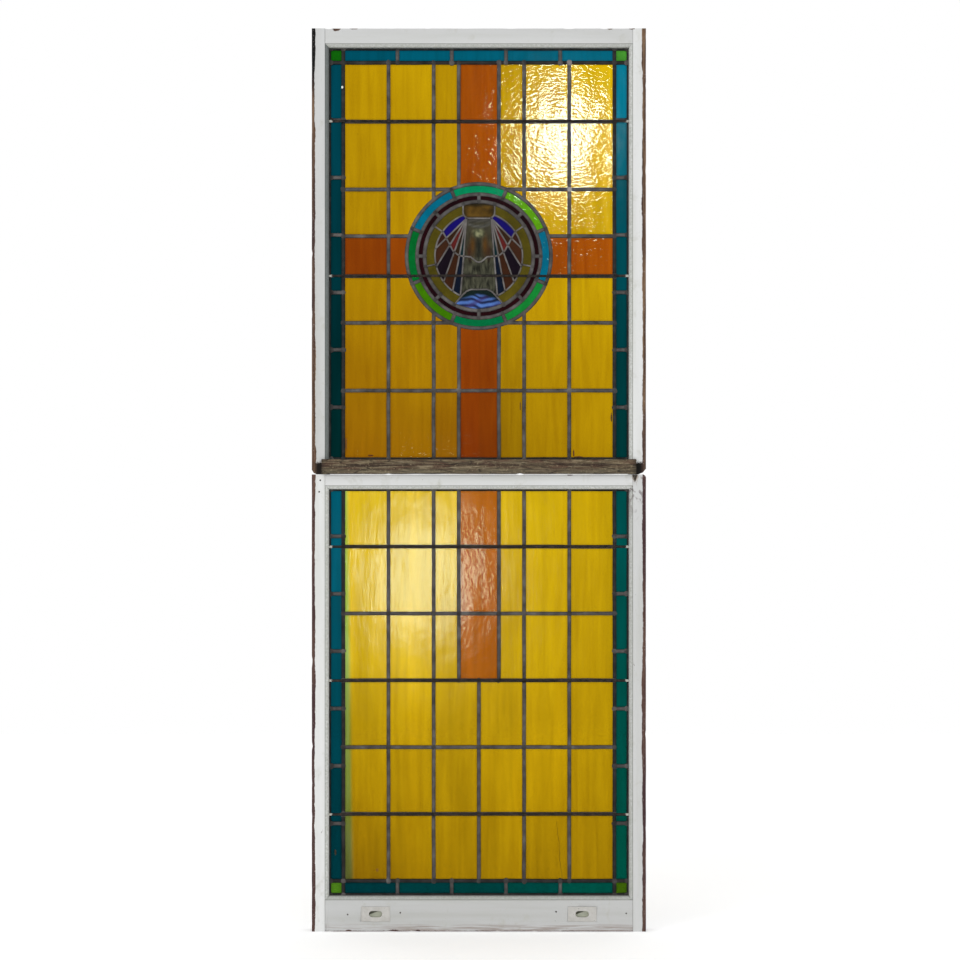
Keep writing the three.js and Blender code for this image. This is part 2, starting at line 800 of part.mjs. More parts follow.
function placeSash(prefix, sash, barHeights, wear, rails) {
  const sockets = barSockets(sash, barHeights);
  const blank = sockets.reduce((rest, socket) => rest.subtract(socket), sashBlank(sash));
  const worn = wear.reduce((rest, cut) => rest.subtract(cut), blank);
  const outline = stileOutline(sash);
  place(`${prefix}_stile_left`, worn.intersect(prism(mirrored(outline), face, back)), paint);
  place(`${prefix}_stile_right`, worn.intersect(prism(outline, face, back)), paint);
  const middle = (sash.base + sash.top) / 2;
  const topRail = railPart(worn, sash, middle, sash.top);
  const bottomRail = railPart(worn, sash, sash.base, middle);
  rails(topRail, bottomRail);
  place(`${prefix}_putty`, puttyRing(sash), putty);
  barHeights.forEach((z, at) => place(`${prefix}_saddle_bar_${at + 1}`, saddleBar(z), steel));
}

placeSash(
  'upper',
  upper,
  [centreZ + OUTER_ROW, centreZ - stemX],
  [
    wornCorner(-halfWidth, upper.base, [LEFT_FOOT_WIDTH, LEFT_FOOT_HEIGHT], -1, -1),
    wornCorner(halfWidth, upper.base, [RIGHT_FOOT_WIDTH, RIGHT_FOOT_HEIGHT], 1, -1),
  ],
  (topRail, bottomRail) => {
    place('upper_top_rail', topRail, paint);
    place('upper_meeting_rail', meetingRail(bottomRail, upper.base, upper.sightBottom, -1), bareWood);
  },
);

placeSash(
  'lower',
  lower,
  [1, 3, 5].map((row) => lowerRows[LOWER_ROWS - 1 - row]),
  [wornCorner(halfWidth, lower.top, [LOWER_TOP_WIDTH, LOWER_TOP_HEIGHT], 1, 1), notch()],
  (topRail, bottomRail) => {
    const railFoot = lower.sightTop + REBATE_WIDTH;
    place('lower_meeting_rail', meetingRail(topRail, railFoot, lower.top, 1), paint);
    place(
      'lower_bottom_rail',
      bottomRail.subtract(liftPocket(-liftX)).subtract(liftPocket(liftX)),
      paint,
    );
  },
);

[['left', -1], ['right', 1]].forEach(([name, side]) => {
  place(`sash_lift_${name}`, sashLift(side * liftX), paint);
});

// Leading
const rimRings = [
  [RIM_RADIUS, CAME_WIDTH],
  [darkRadius, CAME_WIDTH],
  [oliveRadius, RIM_CAME_WIDTH],
];
const besidePanelAndPool = (ring) => ring
  .subtract(panelArea(leadFront - PAD, leadBack + PAD))
  .subtract(poolArea(leadFront - PAD, leadBack + PAD));
const pictureCames = medallionCames();
const upperLines = upperCames();
const lowerLines = lowerCames();
place('upper_leading', joined([
  perimeterSolid(upper),
  ...upperLines.map(cameSolid),
  ...rimRings.map(([radius, width]) => ringCame(radius, width)),
  besidePanelAndPool(ringCame(pictureRadius, FINE_CAME_WIDTH)),
  ...pictureCames.map(cameSolid),
]), lead);
place('lower_leading', joined([perimeterSolid(lower), ...lowerLines.map(cameSolid)]), lead);

// Glass, cut back from the whole cames round each area
const medallionSpace = joined([
  ...rimRings.map(([radius, width]) => ringSpace(radius, width)),
  besidePanelAndPool(ringSpace(pictureRadius, FINE_CAME_WIDTH)),
  cameSpace(pictureCames),
]);
const fieldSpace = (sash, lines) => cameSpace(lines).add(
  sightBand(sash, CAME_WIDTH + 2 * GAP, leadFront, leadBack),
);
const upperSpace = fieldSpace(upper, upperLines).add(ringSpace(RIM_RADIUS, CAME_WIDTH));
const lowerSpace = fieldSpace(lower, lowerLines);

for (let piece = 0; piece < RIM_PIECES; piece += 1) {
  place(`medallion_rim_glass_${piece + 1}`, rimPiece(piece).subtract(medallionSpace), rimColours[piece]);
}
Object.entries(medallionAreas()).forEach(([name, area]) => {
  place(name, area.subtract(medallionSpace), glassMaterial(name));
});
Object.entries(upperAreas()).forEach(([name, area]) => {
  place(name, area.subtract(upperSpace), glassMaterial(name));
});
Object.entries(lowerAreas()).forEach(([name, area]) => {
  place(name, area.subtract(lowerSpace), glassMaterial(name));
});

export default group;
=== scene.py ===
"""The looks of a stained glass sash window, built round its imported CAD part. Units are metres."""

import math
import random

import bmesh
import bpy
import numpy as np
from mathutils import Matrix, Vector, noise
from mathutils.geometry import delaunay_2d_cdt


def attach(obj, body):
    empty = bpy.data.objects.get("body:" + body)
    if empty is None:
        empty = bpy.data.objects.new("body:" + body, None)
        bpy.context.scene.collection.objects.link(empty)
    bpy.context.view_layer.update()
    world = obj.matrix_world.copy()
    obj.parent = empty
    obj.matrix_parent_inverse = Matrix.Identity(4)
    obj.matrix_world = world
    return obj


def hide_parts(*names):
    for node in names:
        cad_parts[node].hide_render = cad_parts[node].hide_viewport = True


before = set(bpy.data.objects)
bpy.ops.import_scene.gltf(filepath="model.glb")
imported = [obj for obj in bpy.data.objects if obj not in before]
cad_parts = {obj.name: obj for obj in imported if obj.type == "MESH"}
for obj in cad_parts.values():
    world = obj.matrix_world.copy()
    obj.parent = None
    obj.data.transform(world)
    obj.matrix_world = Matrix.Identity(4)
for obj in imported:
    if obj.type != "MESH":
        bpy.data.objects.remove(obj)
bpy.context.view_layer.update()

# Sashes
JOINT_X = 0.414
SIGHT_X = 0.404
UPPER_BASE = 1.2303
LOWER_SIGHT = (0.095, 1.190)
UPPER_SIGHT = (1.2713, 2.3793)

# Leaded design
FIELD_X = 0.366
COLUMN = 0.122
STEM_X = 0.054
CENTRE_Z = 1.8193
LOWER_BORDER_Z = 0.133
UPPER_BORDER_Z = 2.3413
LOWER_ROW = 0.1804
LOWER_ROWS = 6
STEM_FOOT_Z = LOWER_BORDER_Z + 3 * LOWER_ROW
INNER_ROW = 0.180
OUTER_ROW = 0.363
BORDER_PIECE = 0.155
RIM_RADIUS = 0.195
DARK_RADIUS = 0.167
OLIVE_RADIUS = 0.147
PICTURE_RADIUS = 0.118
CAME_WIDTH = 0.010
RING_CAME_WIDTH = 0.0105
FINE_CAME_WIDTH = 0.0050
LEAD_Y = 0.0035
LEAF_Y = 0.0018
HEART = 0.0006  # half the width of a came's heart
GLASS_Y = 0.0015
EDGE_GAP = 0.0010  # from a came's centre line to the edge of a pane
BAR_Y = -0.00915
BAR_RADIUS = 0.0035
BAR_INLET = 0.0057  # how far its ends reach past the sight line, into the stiles

# Photograph: the camera's distance, and the width that the frame takes in at the window
CAMERA_DISTANCE = 6.5
CAMERA_HEIGHT = 1.215
FRAME_WIDTH = 2.592
SENSOR_WIDTH = 36.0

random.seed(7)


# Meshes

class Build:
    """Vertices, faces and a colour for each vertex, gathered for one piece."""

    def __init__(self):
        self.verts = []
        self.faces = []
        self.colours = []

    def add(self, verts, faces, colour=(1.0, 1.0, 1.0)):
        """Colour is one colour, a list of them, or a function of a point's place across and up."""
        start = len(self.verts)
        self.verts.extend(verts)
        self.faces.extend(tuple(start + i for i in face) for face in faces)
        if callable(colour):
            self.colours.extend(colour(x, z) for x, y, z in verts)
        elif isinstance(colour, list):
            self.colours.extend(colour)
        else:
            self.colours.extend([colour] * len(verts))

    def piece(self, name, material, slot, nodes=(), angle=40):
        mesh = bpy.data.meshes.new(name)
        mesh.from_pydata(self.verts, [], self.faces)
        mesh.materials.append(material)
        tint = mesh.attributes.new("tint", "FLOAT_COLOR", "POINT")
        rgba = np.ones((len(self.verts), 4), dtype=np.float32)
        rgba[:, :3] = np.array(self.colours, dtype=np.float32)
        tint.data.foreach_set("color", rgba.ravel())
        return dress(mesh, name, nodes, angle)


def dress(mesh, name, nodes, angle=40):
    mesh.update()
    mesh.polygons.foreach_set("use_smooth", [True] * len(mesh.polygons))
    mesh.set_sharp_from_angle(angle=math.radians(angle))
    piece = bpy.data.objects.new(name, mesh)
    bpy.context.scene.collection.objects.link(piece)
    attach(piece, "root")
    if nodes:
        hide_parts(*nodes)
    return piece


def linear(red, green, blue):
    """A colour in sRGB bytes, as linear light."""
    out = []
    for value in (red, green, blue):
        share = value / 255
        out.append(share / 12.92 if share <= 0.04045 else ((share + 0.055) / 1.055) ** 2.4)
    return tuple(out)


def wobble(x, y, z, scale):
    return noise.noise(Vector((x * scale, y * scale, z * scale)))


def on_circle(radius, degrees):
    """A point round the medallion's centre, at an angle from the top."""
    angle = math.radians(degrees)
    return (radius * math.sin(angle), CENTRE_Z + radius * math.cos(angle))


def ring(radius, steps=96):
    return [on_circle(radius, 360 * step / steps) for step in range(steps)]


def arc(radius, low, high, count, side=1):
    return [on_circle(radius, side * angle) for angle in np.linspace(low, high, count)]


def sides_of(outline):
    """The sides of a closed outline, each as its two ends."""
    return zip(outline, outline[1:] + outline[:1])


def mirrored(points):
    return [(-x, z) for x, z in reversed(points)]


def resampled(points, step, closed=False):
    """Points along a line, at about one spacing, with its corners kept."""
    line = list(points) + ([points[0]] if closed else [])
    out = []
    for (x0, z0), (x1, z1) in zip(line, line[1:]):
        count = max(1, round(math.hypot(x1 - x0, z1 - z0) / step))
        out.extend((x0 + (x1 - x0) * i / count, z0 + (z1 - z0) * i / count) for i in range(count))
    if not closed:
        out.append(line[-1])
    return out


def joined(rings, sides, closed=False, inward=False):
    """The faces of a tube through rings of points, which lie one after another."""
    faces = []
    for at in range(rings if closed else rings - 1):
        a, b = at * sides, (at + 1) % rings * sides
        for i in range(sides):
            j = (i + 1) % sides
            faces.append((a + j, b + j, b + i, a + i) if inward else (a + i, b + i, b + j, a + j))
    return faces


def tube(rings, sides):
    """The faces of such a tube with both its ends closed."""
    last = (rings - 1) * sides
    ends = [tuple(range(sides)), tuple(last + i for i in reversed(range(sides)))]
    return joined(rings, sides) + ends


# Lead cames

# How far apart the rings of a came are
CAME_STEP = 0.012
FINE_CAME_STEP = 0.007

# Half of a came's front leaf: how far across, as a share of the half width, and how deep
LEAF_PROFILE = [(1.0, 0.0), (1.0, 0.30), (0.86, 0.62), (0.52, 0.92)]


def came_section(half):
    """The outline of an H-shaped came, as (across, depth) pairs, round once."""
    rise = LEAD_Y - LEAF_Y
    right = [(half * u, -(LEAF_Y + rise * v)) for u, v in LEAF_PROFILE]
    front = [(-u, y) for u, y in right] + [(0.0, -LEAD_Y)] + right[::-1]
    heart = [(HEART, -LEAF_Y), (HEART, LEAF_Y)]
    behind = [(u, -y) for u, y in front[::-1]]
    return front + heart + behind + [(-u, y) for u, y in heart[::-1]]


def add_came(build, points, width, closed=False, step=CAME_STEP, shade=1.0):
    """A came along a line, with painted shade where its leaves meet the glass and a painted highlight along
    its crown.
    """
    line = resampled(points, step, closed)
    section = came_section(width / 2)
    tints = []
    # Painted light and shade: darker towards the leaves' edges, lighter along the crown
    for u, _ in section:
        value = shade * (1.75 - 1.15 * (2 * abs(u) / width) ** 3)
        tints.append((value, value, value))
    verts = []
    count = len(line)
    for at, (x, z) in enumerate(line):
        before = line[at - 1] if closed else line[max(at - 1, 0)]
        after = line[(at + 1) % count] if closed else line[min(at + 1, count - 1)]
        dx, dz = after[0] - before[0], after[1] - before[1]
        length = math.hypot(dx, dz)
        side = (-dz / length, dx / length)
        shift = 0.0007 * wobble(x, width, z, 9) + 0.0002 * wobble(x, 3, z, 60)
        swell = 1 + 0.06 * wobble(x, 7 + width, z, 35)
        crown = 1 + 0.05 * wobble(x, 11, z, 50)
        for u, y in section:
            across = u * swell + shift
            depth = y * crown if abs(y) > LEAF_Y + 1e-5 else y
            verts.append((x + side[0] * across, depth, z + side[1] * across))
    faces = joined(count, len(section), True) if closed else tube(count, len(section))
    build.add(verts, faces, tints * count)


# Rings of a solder bead, from its foot up: share of its radius, and rise
BLOB_RINGS = [(1.0, -0.0004), (0.93, 0.0001), (0.66, 0.0006), (0.3, 0.0009)]
BLOB_RISE = 0.00095
BLOB_SIDES = 12


def add_blob(build, x, z, radius, seed, shine):
    """A flat bead of solder on both sides of a joint."""
    for side in (-1, 1):
        verts = []
        for share, rise in BLOB_RINGS:
            for i in range(BLOB_SIDES):
                angle = 2 * math.pi * i / BLOB_SIDES
                reach = radius * share * (1 + 0.22 * wobble(math.cos(angle), seed, math.sin(angle), 1.7))
                y = side * (LEAD_Y + rise - 0.0001)
                verts.append((x + reach * math.cos(angle), y, z + reach * math.sin(angle)))
        tip = len(verts)
        verts.append((x, side * (LEAD_Y + BLOB_RISE), z))
        faces = joined(len(BLOB_RINGS), BLOB_SIDES, inward=side < 0)
        top = tip - BLOB_SIDES
        faces += [(top + i, tip, top + (i + 1) % BLOB_SIDES)[::side] for i in range(BLOB_SIDES)]
        faces.append(tuple(range(BLOB_SIDES))[::side])
        build.add(verts, faces, (shine, shine, shine))


JOINT_REACH = 0.0012  # how far short of a line a came may end and still meet it
JOINT_SPACING = 0.006  # joints closer than this are one


def crossing(a, b, c, d):
    """Where segment a-b meets segment c-d, with a little reach past their ends."""
    rx, rz = b[0] - a[0], b[1] - a[1]
    sx, sz = d[0] - c[0], d[1] - c[1]
    cross = rx * sz - rz * sx
    if abs(cross) < 1e-9:
        return None
    t = ((c[0] - a[0]) * sz - (c[1] - a[1]) * sx) / cross
    u = ((c[0] - a[0]) * rz - (c[1] - a[1]) * rx) / cross
    reach_t = JOINT_REACH / math.hypot(rx, rz)
    reach_u = JOINT_REACH / math.hypot(sx, sz)
    if -reach_t <= t <= 1 + reach_t and -reach_u <= u <= 1 + reach_u:
        return (a[0] + rx * t, a[1] + rz * t)
    return None


def apart(a, b, c, d, axis):
    """Whether segments a-b and c-d lie clear of each other along one axis."""
    first, second = sorted((a[axis], b[axis])), sorted((c[axis], d[axis]))
    return first[1] + 0.002 < second[0] or second[1] + 0.002 < first[0]


def joints(cames):
    """Where two cames meet, each with the width of the wider one."""
    found = []
    for at, (points, width, closed) in enumerate(cames):
        line = list(points) + ([points[0]] if closed else [])
        for other_points, other_width, other_closed in cames[at + 1:]:
            other = list(other_points) + ([other_points[0]] if other_closed else [])
            for a, b in zip(line, line[1:]):
                for c, d in zip(other, other[1:]):
                    if apart(a, b, c, d, 0) or apart(a, b, c, d, 1):
                        continue
                    point = crossing(a, b, c, d)
                    if point is None:
                        continue
                    if all(math.dist(point, (x, z)) > JOINT_SPACING for x, z, size in found):
                        found.append((*point, max(width, other_width)))
    return found


def chord(distance):
    return math.sqrt(max(RIM_RADIUS ** 2 - distance ** 2, 0))


def spaced(start, stop, step):
    """Heights from a start at one step, which may be downwards, until just short of a stop."""
    values = []
    value = start + step
    while (value < stop) == (step > 0) and abs(value - stop) > 0.009:
        values.append(value)
        value += step
    return values


upper_side_rows = spaced(UPPER_BORDER_Z, UPPER_SIGHT[0], -BORDER_PIECE)
lower_side_rows = spaced(LOWER_BORDER_Z, LOWER_SIGHT[1], BORDER_PIECE)
across_border = [-FIELD_X + 2 * FIELD_X * k / 5 for k in range(1, 5)]
lower_rows = [LOWER_BORDER_Z + LOWER_ROW * k for k in range(1, LOWER_ROWS)]


def upright(x, z0, z1):
    return ([(x, z0), (x, z1)], CAME_WIDTH, False)


def level(z, x0, x1):
    return ([(x0, z), (x1, z)], CAME_WIDTH, False)


def perimeter(sight):
    low, high = sight
    corners = [(-SIGHT_X, low), (SIGHT_X, low), (SIGHT_X, high), (-SIGHT_X, high)]
    return [([a, b], CAME_WIDTH, False) for a, b in sides_of(corners)]


def upper_cames():
    cames = perimeter(UPPER_SIGHT)
    bottom, top = UPPER_SIGHT
    for side in (-1, 1):
        cames.append(upright(side * FIELD_X, bottom, top))
        cames.append(upright(side * 2 * COLUMN, bottom, UPPER_BORDER_Z))
        for x in (COLUMN, STEM_X):
            cames.append(upright(side * x, bottom, CENTRE_Z - chord(x)))
            cames.append(upright(side * x, CENTRE_Z + chord(x), UPPER_BORDER_Z))
        for row in (INNER_ROW, STEM_X):
            for way in (-1, 1):
                cames.append(level(CENTRE_Z + way * row, side * FIELD_X, side * chord(row)))
        cames.append(level(CENTRE_Z + side * OUTER_ROW, -FIELD_X, FIELD_X))
        cames += [level(z, side * FIELD_X, side * SIGHT_X) for z in upper_side_rows]
    cames.append(level(UPPER_BORDER_Z, -SIGHT_X, SIGHT_X))
    return cames + [upright(x, UPPER_BORDER_Z, top) for x in across_border]


def lower_cames():
    cames = perimeter(LOWER_SIGHT)
    bottom, top = LOWER_SIGHT
    for side in (-1, 1):
        cames.append(upright(side * FIELD_X, bottom, top))
        cames += [upright(side * x, LOWER_BORDER_Z, top) for x in (COLUMN, 2 * COLUMN)]
        cames.append(upright(side * STEM_X, STEM_FOOT_Z, top))
        cames += [level(z, side * FIELD_X, side * SIGHT_X) for z in lower_side_rows]
    cames.append(upright(0.0, LOWER_BORDER_Z, STEM_FOOT_Z))
    cames += [level(z, -FIELD_X, FIELD_X) for z in lower_rows]
    cames.append(level(LOWER_BORDER_Z, -SIGHT_X, SIGHT_X))
    return cames + [upright(x, bottom, LOWER_BORDER_Z) for x in across_border]


# Medallion, as in the CAD part
RIM_PIECES = 8
RIM_ANGLE = 360 / RIM_PIECES
PANEL_HALF = 0.0425
PANEL_FOOT = 0.102
PANEL_CORNER = 0.016
SHOULDER_X = 0.033
HEM_X = 0.050
POOL_ANGLE = 27
PANEL_ANGLE = 21  # the picture's ring runs from the panel
POOL_CROSSING = 156.4  # to the pool
RAY_ANGLES = (80, 104, 126, 143)
OLIVE_JOINTS = (56, 101)
WAVE = (
    (0.084, 0.040), (0.070, 0.014), (0.058, 0.004), (0.046, 0.0),
    (0.022, -0.002), (0.014, -0.009), (0.006, -0.015),
)


def panel_line():
    """Round the panel over the figure, from its upper right end to its upper left."""
    top = CENTRE_Z + math.sqrt(OLIVE_RADIUS ** 2 - PANEL_HALF ** 2)
    foot = CENTRE_Z + PANEL_FOOT
    right = [(PANEL_HALF, top)]
    for step in range(6):
        angle = math.pi / 2 * step / 5
        right.append((
            PANEL_HALF - PANEL_CORNER * (1 - math.cos(angle)),
            foot + PANEL_CORNER * (1 - math.sin(angle)),
        ))
    return right + mirrored(right)


def pool_line():
    """Over the pool, from right to left."""
    foot = on_circle(OLIVE_RADIUS, 180 - POOL_ANGLE)
    top = CENTRE_Z - 0.090
    middle = ((foot[0] + 0.022) / 2, (foot[1] + top) / 2 + 0.0055)
    right = [foot, middle, (0.034, top - 0.005), (0.022, top)]
    return right + mirrored(right)


def wave_line():
    """The came that crosses the whole picture, from right to left."""
    right = [on_circle(PICTURE_RADIUS, 56)] + [(x, CENTRE_Z + rise) for x, rise in WAVE]
    return right + [(0.0, CENTRE_Z - 0.016)] + mirrored(right)


def figure_side(side):
    """A side of the standing figure's column: where it leaves the panel, and its hem."""
    hem = CENTRE_Z - math.sqrt(PICTURE_RADIUS ** 2 - HEM_X ** 2)
    return [(side * SHOULDER_X, CENTRE_Z + PANEL_FOOT), (side * HEM_X, hem)]


def spoke(inner, outer, angle, width):
    return ([on_circle(inner, angle), on_circle(outer, angle)], width, False)


def medallion_cames():
    cames = [
        (ring(RIM_RADIUS), CAME_WIDTH, True),
        (ring(DARK_RADIUS), CAME_WIDTH, True),
        (ring(OLIVE_RADIUS), RING_CAME_WIDTH, True),
    ]
    for side in (-1, 1):
        cames.append((arc(PICTURE_RADIUS, PANEL_ANGLE, POOL_CROSSING, 42, side), FINE_CAME_WIDTH, False))
        for angle in OLIVE_JOINTS:
            cames.append(spoke(PICTURE_RADIUS, OLIVE_RADIUS, side * angle, FINE_CAME_WIDTH))
        spring, hem = figure_side(side)
        for target in [on_circle(PICTURE_RADIUS, side * angle) for angle in RAY_ANGLES] + [hem]:
            cames.append(([spring, target], FINE_CAME_WIDTH, False))
    for piece in range(RIM_PIECES):
        middle = RIM_ANGLE * piece
        cames.append(spoke(DARK_RADIUS, RIM_RADIUS, middle + RIM_ANGLE / 2, CAME_WIDTH))
        cames.append(spoke(OLIVE_RADIUS, DARK_RADIUS, middle, CAME_WIDTH))
    return cames + [(line, FINE_CAME_WIDTH, False) for line in (panel_line(), pool_line(), wave_line())]


# Joints whose solder has stayed silvery, and how light it is beside the rest
BRIGHT_JOINTS = ((2 * COLUMN, CENTRE_Z + INNER_ROW), (2 * COLUMN, UPPER_BORDER_Z))
BRIGHT_SOLDER = 5.5
JOINT_MARGIN = 0.005  # how far inside the sight line a bead stays
FINE_CAME_SHADE = 1.6
# Cames round a sash's edge are darkened: painted shadow under the moulding, and putty dirt
EDGE_CAME_SHADE = 0.3


def add_leading(name, cames, fine_cames, slot_nodes):
    build = Build()
    for points, width, closed in cames + fine_cames:
        on_side = all(abs(x) == SIGHT_X for x, z in points)
        on_end = all(z in UPPER_SIGHT + LOWER_SIGHT for x, z in points)
        if width <= FINE_CAME_WIDTH:
            add_came(build, points, width, closed, FINE_CAME_STEP, FINE_CAME_SHADE)
        else:
            add_came(build, points, width, closed, shade=EDGE_CAME_SHADE if on_side or on_end else 1.0)
    for at, (x, z, width) in enumerate(joints(cames)):
        inside = max(JOINT_MARGIN - SIGHT_X, min(SIGHT_X - JOINT_MARGIN, x))
        shine = random.choice((0.75, 0.9, 1.0, 1.0, 1.25, 1.9))
        if any(math.dist((x, z), bright) < 0.004 for bright in BRIGHT_JOINTS):
            shine = BRIGHT_SOLDER
        add_blob(build, inside, z, width * random.uniform(0.62, 0.8), at + 0.37, shine)
    for at, (x, z, width) in enumerate(joints(fine_cames)):
        add_blob(build, x, z, width * random.uniform(0.5, 0.62), at + 0.71, random.choice((0.9, 1.0, 1.3)))
    return build.piece(name, lead_material, "lead", slot_nodes, 50)


# Panes

def ripple(x, z, seed):
    """The gentle waviness of an old pane's front."""
    slow = noise.noise(Vector((x * 22 + seed, seed * 3.1, z * 16)))
    fast = noise.noise(Vector((x * 60 + seed, seed * 1.7 + 5, z * 45)))
    return 0.00016 * slow + 0.00006 * fast


PANE_STEP = 0.0045  # spacing of the points of a pane with a shaped outline
CUTTING_STEP = 0.0015  # spacing of the points of an outline that a curve cuts

# How painted shade beside the cames darkens a pane's rows of points, counted from its edge
EDGE_SHADE = (0.62, 0.82, 1.0)


def grid_pane(build, x0, x1, z0, z1, colour, step=0.005):
    """A rectangular pane between four came lines."""
    x0, x1, z0, z1 = x0 + EDGE_GAP, x1 - EDGE_GAP, z0 + EDGE_GAP, z1 - EDGE_GAP
    columns = max(2, round((x1 - x0) / step))
    rows = max(2, round((z1 - z0) / step))
    seed = random.uniform(0, 50)
    xs = [x0 + (x1 - x0) * i / columns for i in range(columns + 1)]
    zs = [z0 + (z1 - z0) * j / rows for j in range(rows + 1)]
    verts = [(x, -GLASS_Y - ripple(x, z, seed), z) for z in zs for x in xs]
    verts += [(x, GLASS_Y, z) for z in zs for x in xs]
    tints = []
    for j, z in enumerate(zs):
        for i, x in enumerate(xs):
            # Painted shade along a pane's edge, beside the cames
            edge = EDGE_SHADE[min(i, j, columns - i, rows - j, len(EDGE_SHADE) - 1)]
            tints.append(tuple(edge * value for value in (colour(x, z) if callable(colour) else colour)))
    wide = columns + 1
    far = wide * (rows + 1)
    faces = []
    for j in range(rows):
        for i in range(columns):
            a = j * wide + i
            faces.append((a, a + 1, a + wide + 1, a + wide))
            faces.append((far + a, far + a + wide, far + a + wide + 1, far + a + 1))
    edge = list(range(columns)) + [columns + j * wide for j in range(rows)]
    edge += [rows * wide + i for i in range(columns, 0, -1)] + [j * wide for j in range(rows, 0, -1)]
    for a, b in sides_of(edge):
        faces.append((b, a, far + a, far + b))
    build.add(verts, faces, tints * 2)


def inside_outline(px, pz, outline):
    """Which points lie inside a closed outline."""
    result = np.zeros(len(px), dtype=bool)
    for (x0, z0), (x1, z1) in sides_of(outline):
        if z0 == z1:
            continue
        crosses = (z0 > pz) != (z1 > pz)
        result ^= crosses & (px < (x1 - x0) * (pz - z0) / (z1 - z0) + x0)
    return result


def distance_to_outline(px, pz, outline):
    nearest = np.full(len(px), 1e9)
    for (x0, z0), (x1, z1) in sides_of(outline):
        dx, dz = x1 - x0, z1 - z0
        length = max(dx * dx + dz * dz, 1e-12)
        t = np.clip(((px - x0) * dx + (pz - z0) * dz) / length, 0, 1)
        nearest = np.minimum(nearest, np.hypot(px - x0 - t * dx, pz - z0 - t * dz))
    return nearest


def shaped_pane(build, outline, colour, step=PANE_STEP):
    """A pane of any outline, triangulated over an even field of points."""
    area = sum(x0 * z1 - x1 * z0 for (x0, z0), (x1, z1) in sides_of(outline))
    if area < 0:
        outline = outline[::-1]
    edge = resampled(outline, step, True)
    xs = [x for x, z in edge]
    zs = [z for x, z in edge]
    gx = np.arange(min(xs), max(xs), step)
    gz = np.arange(min(zs), max(zs), step * 0.87)
    px, pz = np.meshgrid(gx, gz)
    px = px + (np.arange(len(gz)) % 2)[:, None] * step / 2
    px, pz = px.ravel(), pz.ravel()
    keep = inside_outline(px, pz, edge) & (distance_to_outline(px, pz, edge) > step * 0.55)
    points = [Vector(p) for p in edge] + [Vector((x, z)) for x, z in zip(px[keep], pz[keep])]
    ring_edges = [(i, (i + 1) % len(edge)) for i in range(len(edge))]
    flat, _, faces, *_ = delaunay_2d_cdt(points, ring_edges, [], 1, 1e-6)
    seed = random.uniform(0, 50)
    count = len(flat)
    verts = [(p.x, -GLASS_Y - ripple(p.x, p.y, seed), p.y) for p in flat]
    verts += [(p.x, GLASS_Y, p.y) for p in flat]
    out = []
    used = {}
    for a, b, c in faces:
        if (flat[b] - flat[a]).cross(flat[c] - flat[a]) < 0:
            b, c = c, b
        out.append((a, b, c))
        out.append((count + a, count + c, count + b))
        for pair in ((a, b), (b, c), (c, a)):
            used[pair] = True
    for a, b in list(used):
        if (b, a) not in used:
            out.append((b, a, count + a, count + b))
    build.add(verts, out, colour)


def run(points, keeps):
    """The points of a closed line that a test keeps, in a row from the first one on."""
    kept = [keeps(*point) for point in points]
    start = next((i for i in range(len(points)) if kept[i] and not kept[i - 1]), 0)
    return [points[i] for i in range(start - len(points), start) if kept[i]]


def outside_disc(x0, x1, z0, z1, radius):
    """The part of a cell that lies outside the medallion, which may be nothing."""
    boundary = resampled([(x0, z0), (x1, z0), (x1, z1), (x0, z1)], CUTTING_STEP, True)
    kept = run(boundary, lambda x, z: math.hypot(x, z - CENTRE_Z) > radius)
    if len(kept) in (0, len(boundary)):
        return kept
    first, last = kept[0], kept[-1]
    a0 = math.atan2(last[0], last[1] - CENTRE_Z)
    a1 = math.atan2(first[0], first[1] - CENTRE_Z)
    while a1 - a0 > math.pi:
        a1 -= 2 * math.pi
    while a1 - a0 < -math.pi:
        a1 += 2 * math.pi
    steps = max(2, round(abs(a1 - a0) * radius / 0.004))
    return thinned(kept, PANE_STEP) + arc(radius, math.degrees(a0), math.degrees(a1), steps + 1)


def thinned(points, step):
    """Drops points that lie closer together than a spacing, but keeps corners."""
    out = [points[0]]
    for before, point, after in zip(points, points[1:], points[2:]):
        ax, az = point[0] - before[0], point[1] - before[1]
        bx, bz = after[0] - point[0], after[1] - point[1]
        corner = abs(ax * bz - az * bx) > 0.3 * math.hypot(ax, az) * math.hypot(bx, bz)
        if corner or math.dist(point, out[-1]) > step:
            out.append(point)
    out.append(points[-1])
    return out


def clamped(value):
    return min(1.0, max(0.0, value))


def hump(x, wide, z=0.0, high=1.0, power=2):
    """A soft hump: 1 in its middle and nearly 0 beyond its reach across and up."""
    return math.exp(-(x / wide) ** power - (z / high) ** power)


def height_in(sight, z):
    """A height as a share of a sash's glazed height."""
    low, high = sight
    return (z - low) / (high - low)


